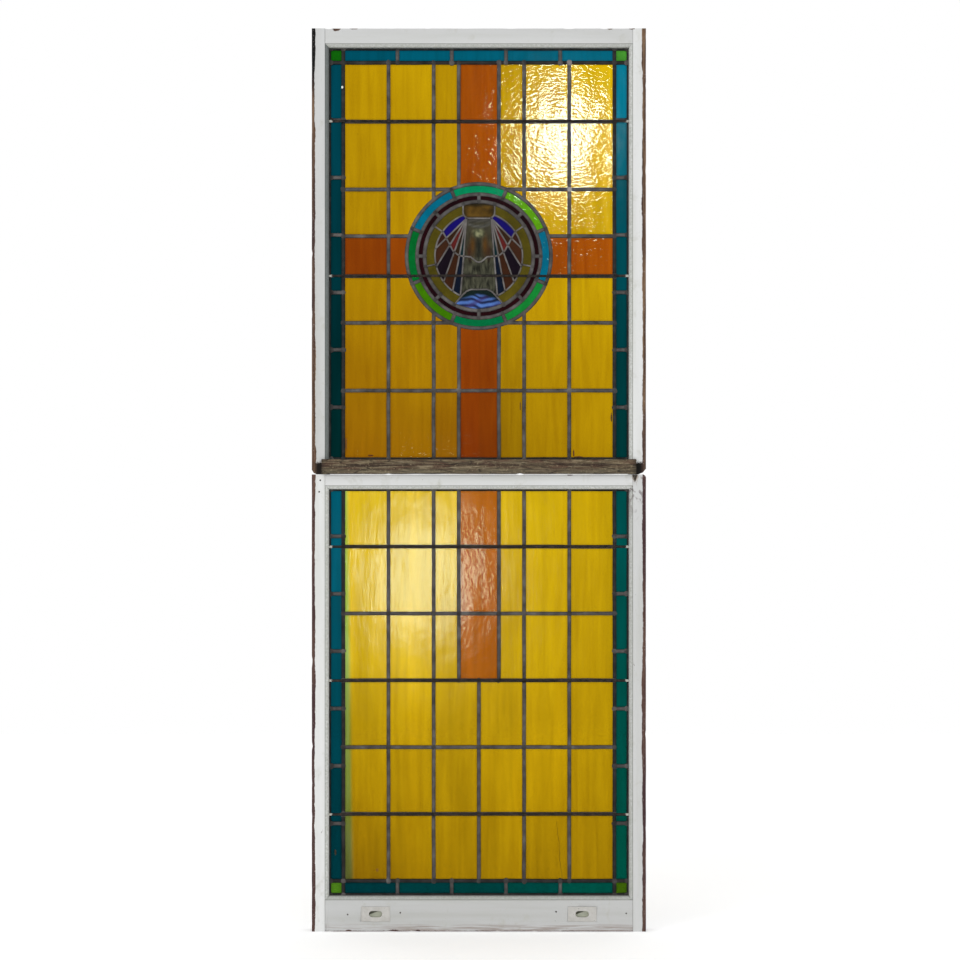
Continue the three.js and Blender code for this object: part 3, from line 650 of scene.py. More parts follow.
def tone(x, z):
    """How light the field is: darker and more orange towards the foot of its sash, with painted light
    towards the glare, and painted shade and a painted green shadow of the border at the lower left.
    """
    height = height_in(UPPER_SIGHT if z > UPPER_BASE else LOWER_SIGHT, z)
    value = 0.60 + 0.42 * max(height, 0.0) ** 0.8
    bend = 1.22
    if z > UPPER_BASE:
        # Painted light: lighter to the right, and most to the upper right, towards the glare
        value *= 1.09 + 0.14 * x / COLUMN / 2.5 + 0.22 * max(x, 0.0) / FIELD_X * max(height, 0.0)
        bend += 0.45 * (1 - height) * (x < 0)
        if STEM_X < abs(x) < COLUMN:
            value *= 0.86
    else:
        # Painted light over the upper left of the lower sash, about the soft glare; glow lightens a patch
        # to the right; painted shade at the lower left
        lit = clamped(0.5 - x / 0.30) * clamped((height - 0.33) / 0.25)
        glow = hump(x - 0.16, 0.08) * clamped((height - 0.45) / 0.10)
        shade = max(0.0, (-x - 0.12) / 0.25) * max(0.0, 1 - height / 0.30)
        value *= 1 + 0.30 * lit + 0.16 * glow - 0.45 * shade
        # Painted green shadow of the teal border along the left edge
        reach = -0.350 + 0.014 * (1 - height)
        edge = clamped((reach - x) / 0.010)
        return (value * (1 - 0.56 * edge), value ** bend * (1 - 0.02 * edge), value * (1 + 90 * edge))
    return (value, value ** bend, value)


def pane_tone():
    """The field's tone with one pane's own difference from its neighbours."""
    own = random.uniform(0.95, 1.05)
    return lambda x, z: tuple(own * value for value in tone(x, z))


def teal_tone(x, z):
    """The border is lighter to the right and up, and greener towards the foot."""
    right = (x + SIGHT_X) / (2 * SIGHT_X)
    if z > UPPER_BORDER_Z:
        value, blue = 0.52 + 0.42 * right, 1.0
    elif z > UPPER_BASE:
        height = height_in(UPPER_SIGHT, z)
        value = 0.15 + 0.10 * right + height ** 2.5 * (0.32 + 0.85 * right)
        blue = 0.62 + 0.38 * height
    else:
        height = height_in(LOWER_SIGHT, z)
        value = 0.18 + 0.34 * right + 0.65 * (1 - right) * max(height, 0.0) ** 1.5
        blue = 0.80 + 0.20 * height - 0.40 * right
    value *= random.uniform(0.9, 1.1)
    return (value, value, value * blue)


def add_cell(build, x0, x1, z0, z1, colour):
    corner = math.hypot(
        min(abs(x0), abs(x1)) if x0 * x1 > 0 else 0,
        min(abs(z0 - CENTRE_Z), abs(z1 - CENTRE_Z)) if (z0 - CENTRE_Z) * (z1 - CENTRE_Z) > 0 else 0,
    )
    if corner > RIM_RADIUS + EDGE_GAP:
        grid_pane(build, x0, x1, z0, z1, colour)
        return
    gap = EDGE_GAP
    outline = outside_disc(x0 + gap, x1 - gap, z0 + gap, z1 - gap, RIM_RADIUS + gap)
    if len(outline) > 5:
        shaped_pane(build, outline, colour)


def cells(columns, rows):
    for x0, x1 in zip(columns, columns[1:]):
        for z0, z1 in zip(rows, rows[1:]):
            yield x0, x1, z0, z1


def add_fields():
    """The panes of the yellow fields and the orange cross."""
    builds = {key: Build() for key in ("upper_yellow", "upper_orange", "lower_yellow", "lower_orange")}
    columns = [-FIELD_X, -2 * COLUMN, -COLUMN, -STEM_X, STEM_X, COLUMN, 2 * COLUMN, FIELD_X]
    from_centre = (-OUTER_ROW, -INNER_ROW, -STEM_X, STEM_X, INNER_ROW, OUTER_ROW)
    upper_rows = [UPPER_SIGHT[0]] + [CENTRE_Z + rise for rise in from_centre] + [UPPER_BORDER_Z]
    for x0, x1, z0, z1 in cells(columns, upper_rows):
        in_arm = abs((z0 + z1) / 2 - CENTRE_Z) < STEM_X
        if in_arm and COLUMN in (abs(x0), abs(x1)) and STEM_X in (abs(x0), abs(x1)):
            continue
        in_stem = abs(x0 + x1) / 2 < STEM_X
        key = "upper_orange" if in_arm or in_stem else "upper_yellow"
        add_cell(builds[key], x0, x1, z0, z1, pane_tone())
    high_rows = [STEM_FOOT_Z] + [z for z in lower_rows if z > STEM_FOOT_Z + 0.01] + [LOWER_SIGHT[1]]
    low_rows = [LOWER_BORDER_Z] + [z for z in lower_rows if z < STEM_FOOT_Z + 0.01]
    for x0, x1, z0, z1 in cells(columns, high_rows):
        key = "lower_orange" if abs(x0 + x1) / 2 < STEM_X else "lower_yellow"
        add_cell(builds[key], x0, x1, z0, z1, pane_tone())
    low_columns = [COLUMN * k for k in range(-3, 4)]
    for x0, x1, z0, z1 in cells(low_columns, low_rows):
        add_cell(builds["lower_yellow"], x0, x1, z0, z1, pane_tone())
    return builds


# Colours of the corner squares, left then right, upper then lower
GREEN_COLOURS = (((12, 96, 6), (76, 126, 26)), ((70, 150, 48), (62, 98, 4)))


def add_borders():
    """The panes of the teal borders and the green corner squares."""
    builds = {key: Build() for key in ("upper_teal", "upper_green", "lower_teal", "lower_green")}
    across = [-FIELD_X] + across_border + [FIELD_X]
    for x0, x1 in zip(across, across[1:]):
        middle = (x0 + x1) / 2
        for key, z0, z1 in (
            ("upper_teal", UPPER_BORDER_Z, UPPER_SIGHT[1]),
            ("lower_teal", LOWER_SIGHT[0], LOWER_BORDER_Z),
        ):
            grid_pane(builds[key], x0, x1, z0, z1, teal_tone(middle, (z0 + z1) / 2))
    for x0, x1 in ((-SIGHT_X, -FIELD_X), (FIELD_X, SIGHT_X)):
        upper = [UPPER_SIGHT[0]] + upper_side_rows[::-1] + [UPPER_BORDER_Z]
        lower = [LOWER_BORDER_Z] + lower_side_rows + [LOWER_SIGHT[1]]
        for key, rows in (("upper_teal", upper), ("lower_teal", lower)):
            for z0, z1 in zip(rows, rows[1:]):
                grid_pane(builds[key], x0, x1, z0, z1, teal_tone((x0 + x1) / 2, (z0 + z1) / 2))
        upper_green, lower_green = GREEN_COLOURS[0 if x0 < 0 else 1]
        grid_pane(builds["upper_green"], x0, x1, UPPER_BORDER_Z, UPPER_SIGHT[1], linear(*upper_green))
        grid_pane(builds["lower_green"], x0, x1, LOWER_SIGHT[0], LOWER_BORDER_Z, linear(*lower_green))
    return builds


# Colours of the medallion's rim, clockwise from the top
RIM_COLOURS = [
    (0, 138, 88), (92, 160, 10), (0, 104, 132), (20, 134, 52),
    (0, 112, 62), (62, 122, 0), (0, 106, 42), (0, 104, 132),
]


def ring_segment(r0, r1, outer_ends, inner_ends=None):
    """The outline of a piece of a ring, between two joints."""
    steps = max(3, round(math.radians(outer_ends[1] - outer_ends[0]) * r1 / 0.004))
    sides = []
    for radius, ends in ((r1 - EDGE_GAP, outer_ends), (r0 + EDGE_GAP, inner_ends or outer_ends)):
        trim = math.degrees(EDGE_GAP / radius)
        sides.append(arc(radius, ends[0] + trim, ends[1] - trim, steps + 1))
    return sides[0] + sides[1][::-1]


def add_rings():
    builds = {key: Build() for key in ("rim", "dark", "olive")}
    for piece, colour in enumerate(RIM_COLOURS):
        middle = RIM_ANGLE * piece
        outline = ring_segment(DARK_RADIUS, RIM_RADIUS, (middle - RIM_ANGLE / 2, middle + RIM_ANGLE / 2))
        shaped_pane(builds["rim"], outline, linear(*colour), 0.004)
        value = random.uniform(0.8, 1.2)
        outline = ring_segment(OLIVE_RADIUS, DARK_RADIUS, (middle, middle + RIM_ANGLE))
        shaped_pane(builds["dark"], outline, (value, value, value), 0.004)
    panel_top = math.degrees(math.asin(PANEL_HALF / OLIVE_RADIUS))
    outer_stops = (panel_top,) + OLIVE_JOINTS + (180 - POOL_ANGLE,)
    inner_stops = (PANEL_ANGLE,) + OLIVE_JOINTS + (POOL_CROSSING,)
    for side in (-1, 1):
        for outer, inner in zip(zip(outer_stops, outer_stops[1:]), zip(inner_stops, inner_stops[1:])):
            outline = [(side * x, z) for x, z in ring_segment(PICTURE_RADIUS, OLIVE_RADIUS, outer, inner)]
            value = random.uniform(0.85, 1.15)
            shaped_pane(builds["olive"], outline, (value, value, value), 0.004)
    return builds


# Broad areas of the picture, in sRGB: rays above and below the crossing came, from the outermost in
RAYS_ABOVE = [(22, 14, 100), (54, 34, 20), (94, 32, 30), (50, 36, 24), (6, 40, 44)]
RAYS_BELOW = [(54, 30, 22), (62, 36, 22), (22, 14, 24), (58, 32, 18), (14, 22, 38)]


def cut(outline, point, normal):
    """The part of a convex outline on the side of a line that its normal points to."""
    out = []
    for a, b in sides_of(outline):
        da = (a[0] - point[0]) * normal[0] + (a[1] - point[1]) * normal[1]
        db = (b[0] - point[0]) * normal[0] + (b[1] - point[1]) * normal[1]
        if da >= 0:
            out.append(a)
        if (da > 0) != (db > 0) and abs(da - db) > 1e-12:
            t = da / (da - db)
            out.append((a[0] + (b[0] - a[0]) * t, a[1] + (b[1] - a[1]) * t))
    return out


def height_on(line, x):
    """The height of a line of points over x."""
    for (x0, z0), (x1, z1) in zip(line, line[1:]):
        if min(x0, x1) <= x <= max(x0, x1):
            return z0 + (z1 - z0) * (x - x0) / (x1 - x0)
    return line[0][1]


def split_by_wave(outline):
    """Parts an outline into what lies above the crossing came and what lies below it."""
    wave = wave_line()
    fine = resampled(outline, CUTTING_STEP, True)
    parts = []
    for way in (1, -1):
        part = run(fine, lambda x, z: way * (z - height_on(wave, x)) > EDGE_GAP)
        edge = []
        if 0 < len(part) < len(fine):
            start, stop = part[-1][0], part[0][0]
            steps = max(1, round(abs(stop - start) / 0.003))
            xs = [start + (stop - start) * i / steps for i in range(1, steps)]
            edge = [(x, height_on(wave, x) + way * EDGE_GAP) for x in xs]
        parts.append(thinned(part, 0.004) + edge if part else [])
    return parts


def blend(share, a, b):
    share = clamped(share)
    return tuple(p + (q - p) * share for p, q in zip(a, b))


def figure_colour(x, z):
    """A plain robed figure: a pale oval for its head, a garland over it, brown sleeves, long grey folds."""
    h = z - CENTRE_Z
    warp = 0.006 * wobble(x, 3, z, 45)
    folds = 0.5 + 0.9 * wobble(x + warp, 3, z * 0.22, 210)
    ground = blend((h + 0.03) / 0.10, linear(34, 33, 26), linear(56, 54, 44))
    if h < -0.004:
        colour = blend(folds, linear(28, 29, 24), linear(84, 84, 68))
    else:
        colour = blend(folds * 0.6, ground, linear(78, 74, 56))
    sleeve = hump(abs(x) - 0.017, 0.007, h - 0.030, 0.024)
    colour = blend(sleeve, colour, linear(88, 60, 26))
    cuff = hump(abs(x) - 0.026, 0.006, h - 0.012, 0.020)
    colour = blend(cuff * 0.8, colour, linear(64, 38, 24))
    middle = hump(x, 0.0065, h - 0.022, 0.030)
    colour = blend(middle * 0.85, colour, linear(26, 29, 25))
    oval = hump(x + 0.001, 0.0150, h - 0.062, 0.0105, 4)
    pale = blend(0.5 + 1.2 * wobble(x, 1, z, 120), linear(72, 76, 54), linear(142, 142, 108))
    colour = blend(oval, colour, pale)
    garland = hump(h - 0.080 - 9 * x * x, 0.0040)
    leaves = 0.5 + 0.5 * math.sin(x * 900) * math.sin((z + x) * 700)
    colour = blend(garland, colour, blend(leaves, linear(52, 52, 48), linear(104, 103, 96)))
    shoulder = hump(h - 0.096, 0.005)
    return blend(shoulder * 0.9, colour, blend(leaves, linear(48, 47, 44), linear(88, 86, 80)))


def pool_colour(x, z):
    """Blue and violet waves between dark green banks."""
    h = z - CENTRE_Z + 0.118
    wave = math.sin(h * 420 + 2.4 * math.sin(x * 70 + 0.8) + 3 * wobble(x, 5, z, 34))
    colour = blend(0.5 + 0.7 * wave, linear(30, 40, 76), linear(84, 120, 190))
    violet = 0.5 + 0.5 * math.sin(x * 85 - h * 160 + 1.2)
    colour = blend(0.7 * violet ** 3, colour, linear(62, 50, 104))
    bank = max(0.0, h - 0.006 + abs(x) * 0.30) / 0.014
    return blend(bank ** 2, colour, linear(20, 34, 32))


def panel_colour(x, z):
    h = z - CENTRE_Z - 0.121
    edge = max(abs(x) / 0.040, abs(h) / 0.017)
    colour = blend(0.5 + 0.9 * wobble(x, 2, z, 60), linear(64, 46, 16), linear(108, 80, 30))
    return blend((edge - 0.62) * 2.4, colour, linear(44, 36, 20))


def ray_panes(build, side):
    """The rays to one side of the figure, split by the crossing came."""
    radius = PICTURE_RADIUS - EDGE_GAP
    spring, hem = figure_side(side)
    targets = [on_circle(PICTURE_RADIUS, side * a) for a in RAY_ANGLES] + [hem]
    for ray, target in enumerate(targets):
        low = math.degrees(math.atan2(abs(target[0]), target[1] - CENTRE_Z)) - 0.6
        if ray == 0:
            corner = (side * 0.0385, CENTRE_Z + 0.1055)
            outline = [spring, corner] + arc(radius, PANEL_ANGLE + 0.8, low, 24, side)
        else:
            outline = [spring] + arc(radius, RAY_ANGLES[ray - 1] + 0.6, low, 16, side)
        edges = [(target, 1)] + ([(targets[ray - 1], -1)] if ray else [])
        for end, way in edges:
            dx, dz = end[0] - spring[0], end[1] - spring[1]
            length = math.hypot(dx, dz) / (way * side)
            normal = (-dz / length, dx / length)
            start = (spring[0] + normal[0] * EDGE_GAP, spring[1] + normal[1] * EDGE_GAP)
            outline = cut(outline, start, normal)
        for part, colour in zip(split_by_wave(outline), (RAYS_ABOVE[ray], RAYS_BELOW[ray])):
            if len(part) > 4:
                shaped_pane(build, part, linear(*colour), 0.004)


def add_picture():
    """The rays, the standing figure's column, the panel over it and the pool at its foot."""
    build = Build()
    for side in (-1, 1):
        ray_panes(build, side)
    gap = EDGE_GAP
    foot = CENTRE_Z + PANEL_FOOT - gap
    hem = pool_line()
    pool_top = [(x, z + gap) for x, z in reversed(hem) if abs(x) < 0.046]
    left, right = figure_side(-1), figure_side(1)
    column = [(left[0][0] + gap, foot), (left[1][0] + gap, left[1][1] + gap)]
    column += pool_top + [(right[1][0] - gap, right[1][1] + gap), (right[0][0] - gap, foot)]
    for part in split_by_wave(column):
        shaped_pane(build, part, figure_colour, 0.002)
    inset = [(x * (1 - 0.0014 / PANEL_HALF), max(z, CENTRE_Z + PANEL_FOOT + gap)) for x, z in panel_line()]
    radius = OLIVE_RADIUS - gap
    span = math.degrees(math.asin(PANEL_HALF / OLIVE_RADIUS)) - 0.5
    shaped_pane(build, inset[1:-1] + arc(radius, -span, span, 20), panel_colour, 0.003)
    span = POOL_ANGLE - 0.6
    pool = [(x, z - gap) for x, z in reversed(hem)][1:-1] + arc(radius, 180 - span, 180 + span, 26)
    shaped_pane(build, pool, pool_colour, 0.002)
    return build


# Materials

class Nodes:
    """A node tree, with one short call for each kind of node."""

    def __init__(self, owner):
        self.tree = owner.node_tree

    def link(self, source, socket):
        self.tree.links.new(source, socket)

    def fill(self, socket, value):
        """Gives an input another node's output, or a plain value."""
        if isinstance(value, bpy.types.NodeSocket):
            self.link(value, socket)
        else:
            socket.default_value = value

    def node(self, kind, **plain):
        """A new node, with plain values in some of its inputs."""
        node = self.tree.nodes.new("ShaderNode" + kind)
        for name, value in plain.items():
            node.inputs[name.replace("_", " ")].default_value = value
        return node

    def span(self, value, low, high, out_low=0.0, out_high=1.0):
        node = self.node("MapRange", From_Min=low, From_Max=high, To_Min=out_low, To_Max=out_high)
        self.link(value, node.inputs["Value"])
        return node.outputs["Result"]

    def math(self, kind, a, b=0.0, clamp=False):
        node = self.node("Math")
        node.operation = kind
        node.use_clamp = clamp
        self.fill(node.inputs[0], a)
        self.fill(node.inputs[1], b)
        return node.outputs[0]

    def times(self, a, b):
        return self.math("MULTIPLY", a, b)

    def plus(self, a, b):
        return self.math("ADD", a, b)

    def minus(self, a, b):
        return self.math("SUBTRACT", a, b)

    def most(self, a, b):
        return self.math("MAXIMUM", a, b)

    def away(self, value, middle=None):
        """How far a value is from a middle, or from 0."""
        return self.math("ABSOLUTE", value if middle is None else self.minus(value, middle))


class Look(Nodes):
    """A material and its node tree."""

    def __init__(self, name):
        self.material = bpy.data.materials.new(name)
        self.material.use_nodes = True
        super().__init__(self.material)
        self.shader = self.tree.nodes["Principled BSDF"]
        self.place = self.tree.nodes.new("ShaderNodeTexCoord").outputs["Object"]

    def mapped(self, **plain):
        node = self.node("Mapping", **plain)
        self.link(self.place, node.inputs["Vector"])
        return node.outputs["Vector"]

    def noise(self, scale, detail=3.0, rough=0.5, bend=0.0):
        """Scale is how many features there are to a metre, in each direction."""
        node = self.node("TexNoise", Scale=1.0, Detail=detail, Roughness=rough, Distortion=bend)
        self.link(self.mapped(Scale=scale), node.inputs["Vector"])
        return node.outputs["Fac"]

    def cracks(self, scale):
        node = self.node("TexVoronoi", Scale=1.0)
        node.feature = "DISTANCE_TO_EDGE"
        self.link(self.mapped(Scale=scale), node.inputs["Vector"])
        return node.outputs["Distance"]

    def ramp(self, value, stops):
        node = self.node("ValToRGB")
        self.link(value, node.inputs["Fac"])
        elements = node.color_ramp.elements
        while len(elements) < len(stops):
            elements.new(0.5)
        for element, (position, colour) in zip(elements, stops):
            element.position = position
            element.color = (*colour, 1.0)
        return node.outputs["Color"]

    def shades(self, value, *stops):
        """A ramp through colours in sRGB bytes."""
        return self.ramp(value, [(position, linear(*colour)) for position, colour in stops])

    def mix(self, share, a, b, kind="MIX"):
        """Mixes two colours, each another node's output or in sRGB bytes."""
        node = self.node("Mix")
        node.data_type = "RGBA"
        node.blend_type = kind
        sockets = [s for s in node.inputs if s.enabled]
        self.fill(sockets[0], share)
        for socket, value in zip(sockets[1:], (a, b)):
            self.fill(socket, value if isinstance(value, bpy.types.NodeSocket) else (*linear(*value), 1.0))
        return [s for s in node.outputs if s.enabled][0]

    def stained(self, colour, mask, low, high, share, stain):
        """A colour that gives way to a stain as a mask goes from low to high, to a share at most."""
        return self.mix(self.span(mask, low, high, 0.0, share), colour, stain)

    def grey(self, value):
        node = self.node("CombineColor")
        for socket in node.inputs:
            self.link(value, socket)
        return node.outputs[0]

    def axis(self, which):
        node = self.node("SeparateXYZ")
        self.link(self.place, node.inputs[0])
        return node.outputs[which]

    def spots(self, places, ragged, fray):
        """A mask of ragged round spots, each with its place and how far it reaches across and up."""
        mask = None
        for x, z, wide, high in places:
            length = self.node("VectorMath")
            length.operation = "LENGTH"
            place = self.mapped(Scale=(1 / wide, 0, 1 / high), Location=(-x / wide, 0, -z / high))
            self.link(place, length.inputs[0])
            away = self.plus(length.outputs["Value"], self.times(ragged, fray))
            spot = self.span(away, 0.95 + fray * 0.5, 0.75 + fray * 0.5)
            mask = spot if mask is None else self.most(mask, spot)
        return mask

    def tint(self):
        node = self.node("Attribute")
        node.attribute_name = "tint"
        return node.outputs["Color"]

    def tinted(self, colour):
        return self.mix(1.0, colour, self.tint(), "MULTIPLY")

    def bump(self, height, distance, strength=1.0, after=None):
        node = self.node("Bump", Strength=strength, Distance=distance)
        self.link(height, node.inputs["Height"])
        if after is not None:
            self.link(after, node.inputs["Normal"])
        return node.outputs["Normal"]

    def finish(self, colour, roughness, normal=None, **plain):
        self.fill(self.shader.inputs["Base Color"], colour)
        self.fill(self.shader.inputs["Roughness"], roughness)
        if normal is not None:
            self.link(normal, self.shader.inputs["Normal"])
        for name, value in plain.items():
            self.shader.inputs[name.replace("_", " ")].default_value = value
        return self.material


def glass(name, light, dark, streaks, ripples, depth, bands=0.0, specular=0.3, rough=0.045, ior=1.5):
    """Coloured glass, streaked along its height between a light and a dark colour."""
    n = Look(name)
    streak = n.noise(streaks, 4.0, 0.55, 0.6)
    cloud = n.noise((7, 7, 5), 2.0)
    share = n.plus(n.times(streak, 0.6), n.times(cloud, 0.4))
    colour = n.shades(share, (0.32, dark), (0.66, light))
    # The tint carries each pane's tone, with any painted light and shade in it
    colour = n.tinted(colour)
    # Bands: painted light and shade in soft, wide upright bands across the glass
    if bands:
        wide = n.span(n.noise((15, 15, 1.1), 3.0, 0.5), 0.3, 0.7, 1 - bands, 1 + bands)
        colour = n.mix(1.0, colour, n.grey(wide), "MULTIPLY")
    dust = n.noise((150, 150, 90), 3.0, 0.6)
    colour = n.stained(colour, dust, 0.66, 0.80, 0.35, (60, 44, 8))
    wave = n.noise(ripples, 2.0, 0.5, 0.2)
    fine = n.noise((260, 260, 200), 2.0)
    height = n.plus(wave, n.times(fine, 0.08))
    normal = n.bump(height, depth)
    return n.finish(colour, rough, normal, Transmission_Weight=1.0, IOR=ior, Specular_IOR_Level=specular)


def tinted_glass(name, ripples, depth, low=0.62, high=1.12):
    """Glass whose colour each pane carries in its vertices."""
    n = Look(name)
    cloud = n.noise((38, 38, 30), 4.0, 0.6, 0.8)
    shade = n.ramp(cloud, [(0.30, (low,) * 3), (0.68, (high,) * 3)])
    colour = n.mix(1.0, n.tint(), shade, "MULTIPLY")
    wave = n.noise(ripples, 2.0, 0.5, 0.6)
    normal = n.bump(wave, depth)
    return n.finish(colour, 0.05, normal, Transmission_Weight=1.0, IOR=1.5, Specular_IOR_Level=0.3)


def lead():
    n = Look("lead")
    patches = n.noise((30, 30, 30), 4.0, 0.6)
    fine = n.noise((300, 300, 300), 4.0, 0.65)
    colour = n.shades(patches, (0.32, (56, 52, 52)), (0.52, (76, 72, 71)), (0.72, (96, 93, 91)))
    # The tint carries the painted light and shade across each came
    colour = n.tinted(colour)
    colour = n.stained(colour, fine, 0.58, 0.76, 0.3, (104, 99, 94))
    rough = n.span(fine, 0.3, 0.7, 0.42, 0.66)
    return n.finish(colour, rough, n.bump(fine, 0.0004, 0.7), Metallic=0.35)


def steel():
    n = Look("saddle_bar_steel")
    rust = n.noise((120, 120, 120), 4.0, 0.6)
    colour = n.shades(rust, (0.35, (34, 30, 28)), (0.58, (58, 50, 46)), (0.75, (88, 66, 52)))
    ends = n.away(n.axis("X"))
    edge = n.plus(ends, n.times(n.noise((160, 160, 160)), 0.012))
    paint = n.span(edge, 0.4005, 0.4035)
    colour = n.mix(paint, colour, (196, 194, 186))
    return n.finish(colour, n.span(rust, 0.3, 0.7, 0.45, 0.7), n.bump(rust, 0.0003), Metallic=0.2)


# Knocks that went through the paint: their places, and how far each reaches across and up
NAIL_HOLES = (
    (-0.2114, 0.0507), (-0.3532, 0.0458), (0.2076, 0.0533),
    (0.3964, 0.0490), (-0.4269, 1.2143), (-0.4296, 1.1831),
)
CHIPS = (
    (-0.3834, 2.4285, 0.012, 0.0065), (-0.3370, 2.4300, 0.012, 0.0030), (0.3524, 2.4300, 0.009, 0.0035),
    (0.4118, 2.4300, 0.010, 0.0032), (-0.3500, 0.0020, 0.009, 0.0040), (-0.2290, 0.0020, 0.016, 0.0036),
    (-0.1640, 0.0020, 0.007, 0.0034), (0.2450, 1.2300, 0.009, 0.0040), (0.4200, 1.2250, 0.009, 0.0160),
)
STILE_END = 1.262  # below this, the upper stiles are bare and dark beside the meeting rail
NOSE_END = 0.4235
MOULDING_LINES = (UPPER_SIGHT[1] + 0.005, LOWER_SIGHT[1] + 0.005, LOWER_SIGHT[0] - 0.005)


def painted_wood(name, along):
    """White paint on old wood, worn bare along the outer edges. Along is the grain's axis, 0 or 2."""
    n = Look(name)
    upright = along == 2
    x, z = n.axis("X"), n.axis("Z")
    reach = n.away(x)
    upper = n.span(z, UPPER_BASE - 0.0001, UPPER_BASE)
    ragged = n.noise((90, 90, 22), 5.0, 0.7, 0.5)
    fray = n.noise((230, 230, 230), 3.0, 0.6)
    cloud = n.noise((30, 30, 1.6) if upright else (1.6, 30, 30), 4.0, 0.55)
    colour = n.shades(cloud, (0.28, (205, 205, 202)), (0.5, (215, 215, 215)), (0.75, (221, 221, 222)))
    # The tint carries each member's painted light and shade
    colour = n.tinted(colour)
    dirt = n.noise((24, 24, 18), 5.0, 0.65, 0.4)
    colour = n.stained(colour, dirt, 0.58, 0.76, 0.5, (176, 174, 160))
    specks = n.noise((260, 260, 220), 2.0, 0.5)
    colour = n.stained(colour, specks, 0.74, 0.79, 0.8, (98, 84, 66))

    # Painted shade in the moulding round the glass, a darker painted line at its quirk, and deeper painted
    # shadow on the moulding of the upper left
    if upright:
        moulding = n.span(reach, JOINT_X + 0.0004, JOINT_X - 0.0002)
        quirk = n.span(n.away(reach, JOINT_X), 0.0011, 0.0006)
        shaded = n.times(n.span(x, 0.001, -0.001), upper)
    else:
        nearest = None
        for line in MOULDING_LINES:
            away = n.away(z, line)
            nearest = away if nearest is None else n.math("MINIMUM", nearest, away)
        moulding = n.span(nearest, 0.0052, 0.0047)
        quirk = n.span(n.away(nearest, 0.005), 0.0010, 0.0005)
        shaded = None
    share = n.times(moulding, n.span(fray, 0.30, 0.62, 0.18, 0.62))
    colour = n.mix(share, colour, (146, 150, 138))
    colour = n.mix(n.times(quirk, 0.5), colour, (96, 96, 86))
    if shaded is not None:
        # Painted shadow on the upper left moulding
        colour = n.mix(n.times(n.times(moulding, shaded), 0.72), colour, (62, 72, 74))

    # Bare wood, from black and maroon to tan
    grain = n.noise((420, 420, 9) if upright else (9, 420, 420), 4.0, 0.6, 0.3)
    wood = n.shades(grain, (0.30, (48, 34, 27)), (0.48, (100, 72, 52)), (0.66, (140, 112, 84)))
    stain = n.noise((14, 14, 3.0), 3.0)
    wood = n.stained(wood, stain, 0.42, 0.60, 0.85, (58, 34, 38))
    wood = n.stained(wood, upper, 1.0, 0.0, 0.55, (74, 44, 50))
    charred = n.times(n.span(x, -0.438, -0.440), n.span(z, 2.24, 2.32))
    wood = n.mix(charred, wood, (20, 16, 14))
    split = n.times(n.span(x, 0.398, 0.402), n.span(z, 1.190, 1.205))
    split = n.times(n.times(split, n.span(z, 1.2302, 1.2300)), n.span(x, 0.440, 0.436))
    wood = n.mix(n.times(split, 0.85), wood, (168, 156, 144))
    wood = n.stained(wood, fray, 0.62, 0.68, 0.6, (168, 152, 148))
    torn = n.noise((30, 30, 5), 3.0, 0.5)
    edge = n.plus(reach, n.times(n.plus(ragged, torn), 0.0100))
    bare = n.span(edge, 0.4498, 0.4504)
    behind = n.span(n.axis("Y"), 0.0205, 0.0222)
    worn_back = n.times(behind, n.span(ragged, 0.64, 0.69))
    bare = n.most(bare, n.times(worn_back, 0.8))
    chips = n.noise((55, 55, 38), 4.0, 0.6, 0.8)
    bare = n.most(bare, n.span(chips, 0.735, 0.75))
    front = n.span(n.axis("Y"), -0.004, -0.006)
    knocks = n.spots(CHIPS, fray, 1.1)
    if upright:
        flakes = n.times(n.span(z, 1.10, 1.20), n.span(z, 1.2302, 1.2300))
        flakes = n.times(flakes, n.span(x, 0.40, 0.402))
        flakes = n.times(flakes, n.span(chips, 0.50, 0.58))
        bare = n.most(bare, n.times(flakes, 0.7))
        ends = n.plus(reach, n.times(ragged, 0.004))
        ends = n.times(n.span(ends, NOSE_END, NOSE_END + 0.002), upper)
        low = n.plus(z, n.times(fray, 0.016))
        ends = n.times(ends, n.span(low, STILE_END + 0.012, STILE_END + 0.006))
        bare = n.most(bare, ends)
        inner = n.span(reach, 0.444, 0.435, 0.25, 0.95)
        wood = n.mix(n.times(ends, inner), wood, (24, 19, 15))
    else:
        foot = n.plus(z, n.times(ragged, 0.005))
        knocks = n.most(knocks, n.span(foot, 0.0052, 0.0040))
        streak = n.noise((9, 60, 200), 4.0, 0.6, 0.4)
        streak = n.times(n.span(streak, 0.42, 0.60), n.span(z, 0.022, 0.014))
        colour = n.mix(n.times(streak, 0.55), colour, (132, 106, 92))
    bare = n.most(bare, n.times(knocks, front))
    colour = n.mix(bare, colour, wood)
    holes = n.times(n.spots([(*place, 0.0026, 0.0026) for place in NAIL_HOLES], fray, 0.8), front)
    colour = n.mix(holes, colour, (70, 60, 56))

    brush = n.noise((240, 240, 7) if upright else (7, 240, 240), 3.0, 0.6)
    normal = n.bump(brush, 0.0005, 0.35)
    normal = n.bump(n.times(n.most(bare, holes), -1.0), 0.0007, 0.8, normal)
    normal = n.bump(n.times(grain, bare), 0.0006, 0.8, normal)
    return n.finish(colour, n.span(bare, 0.0, 1.0, 0.42, 0.85), normal)


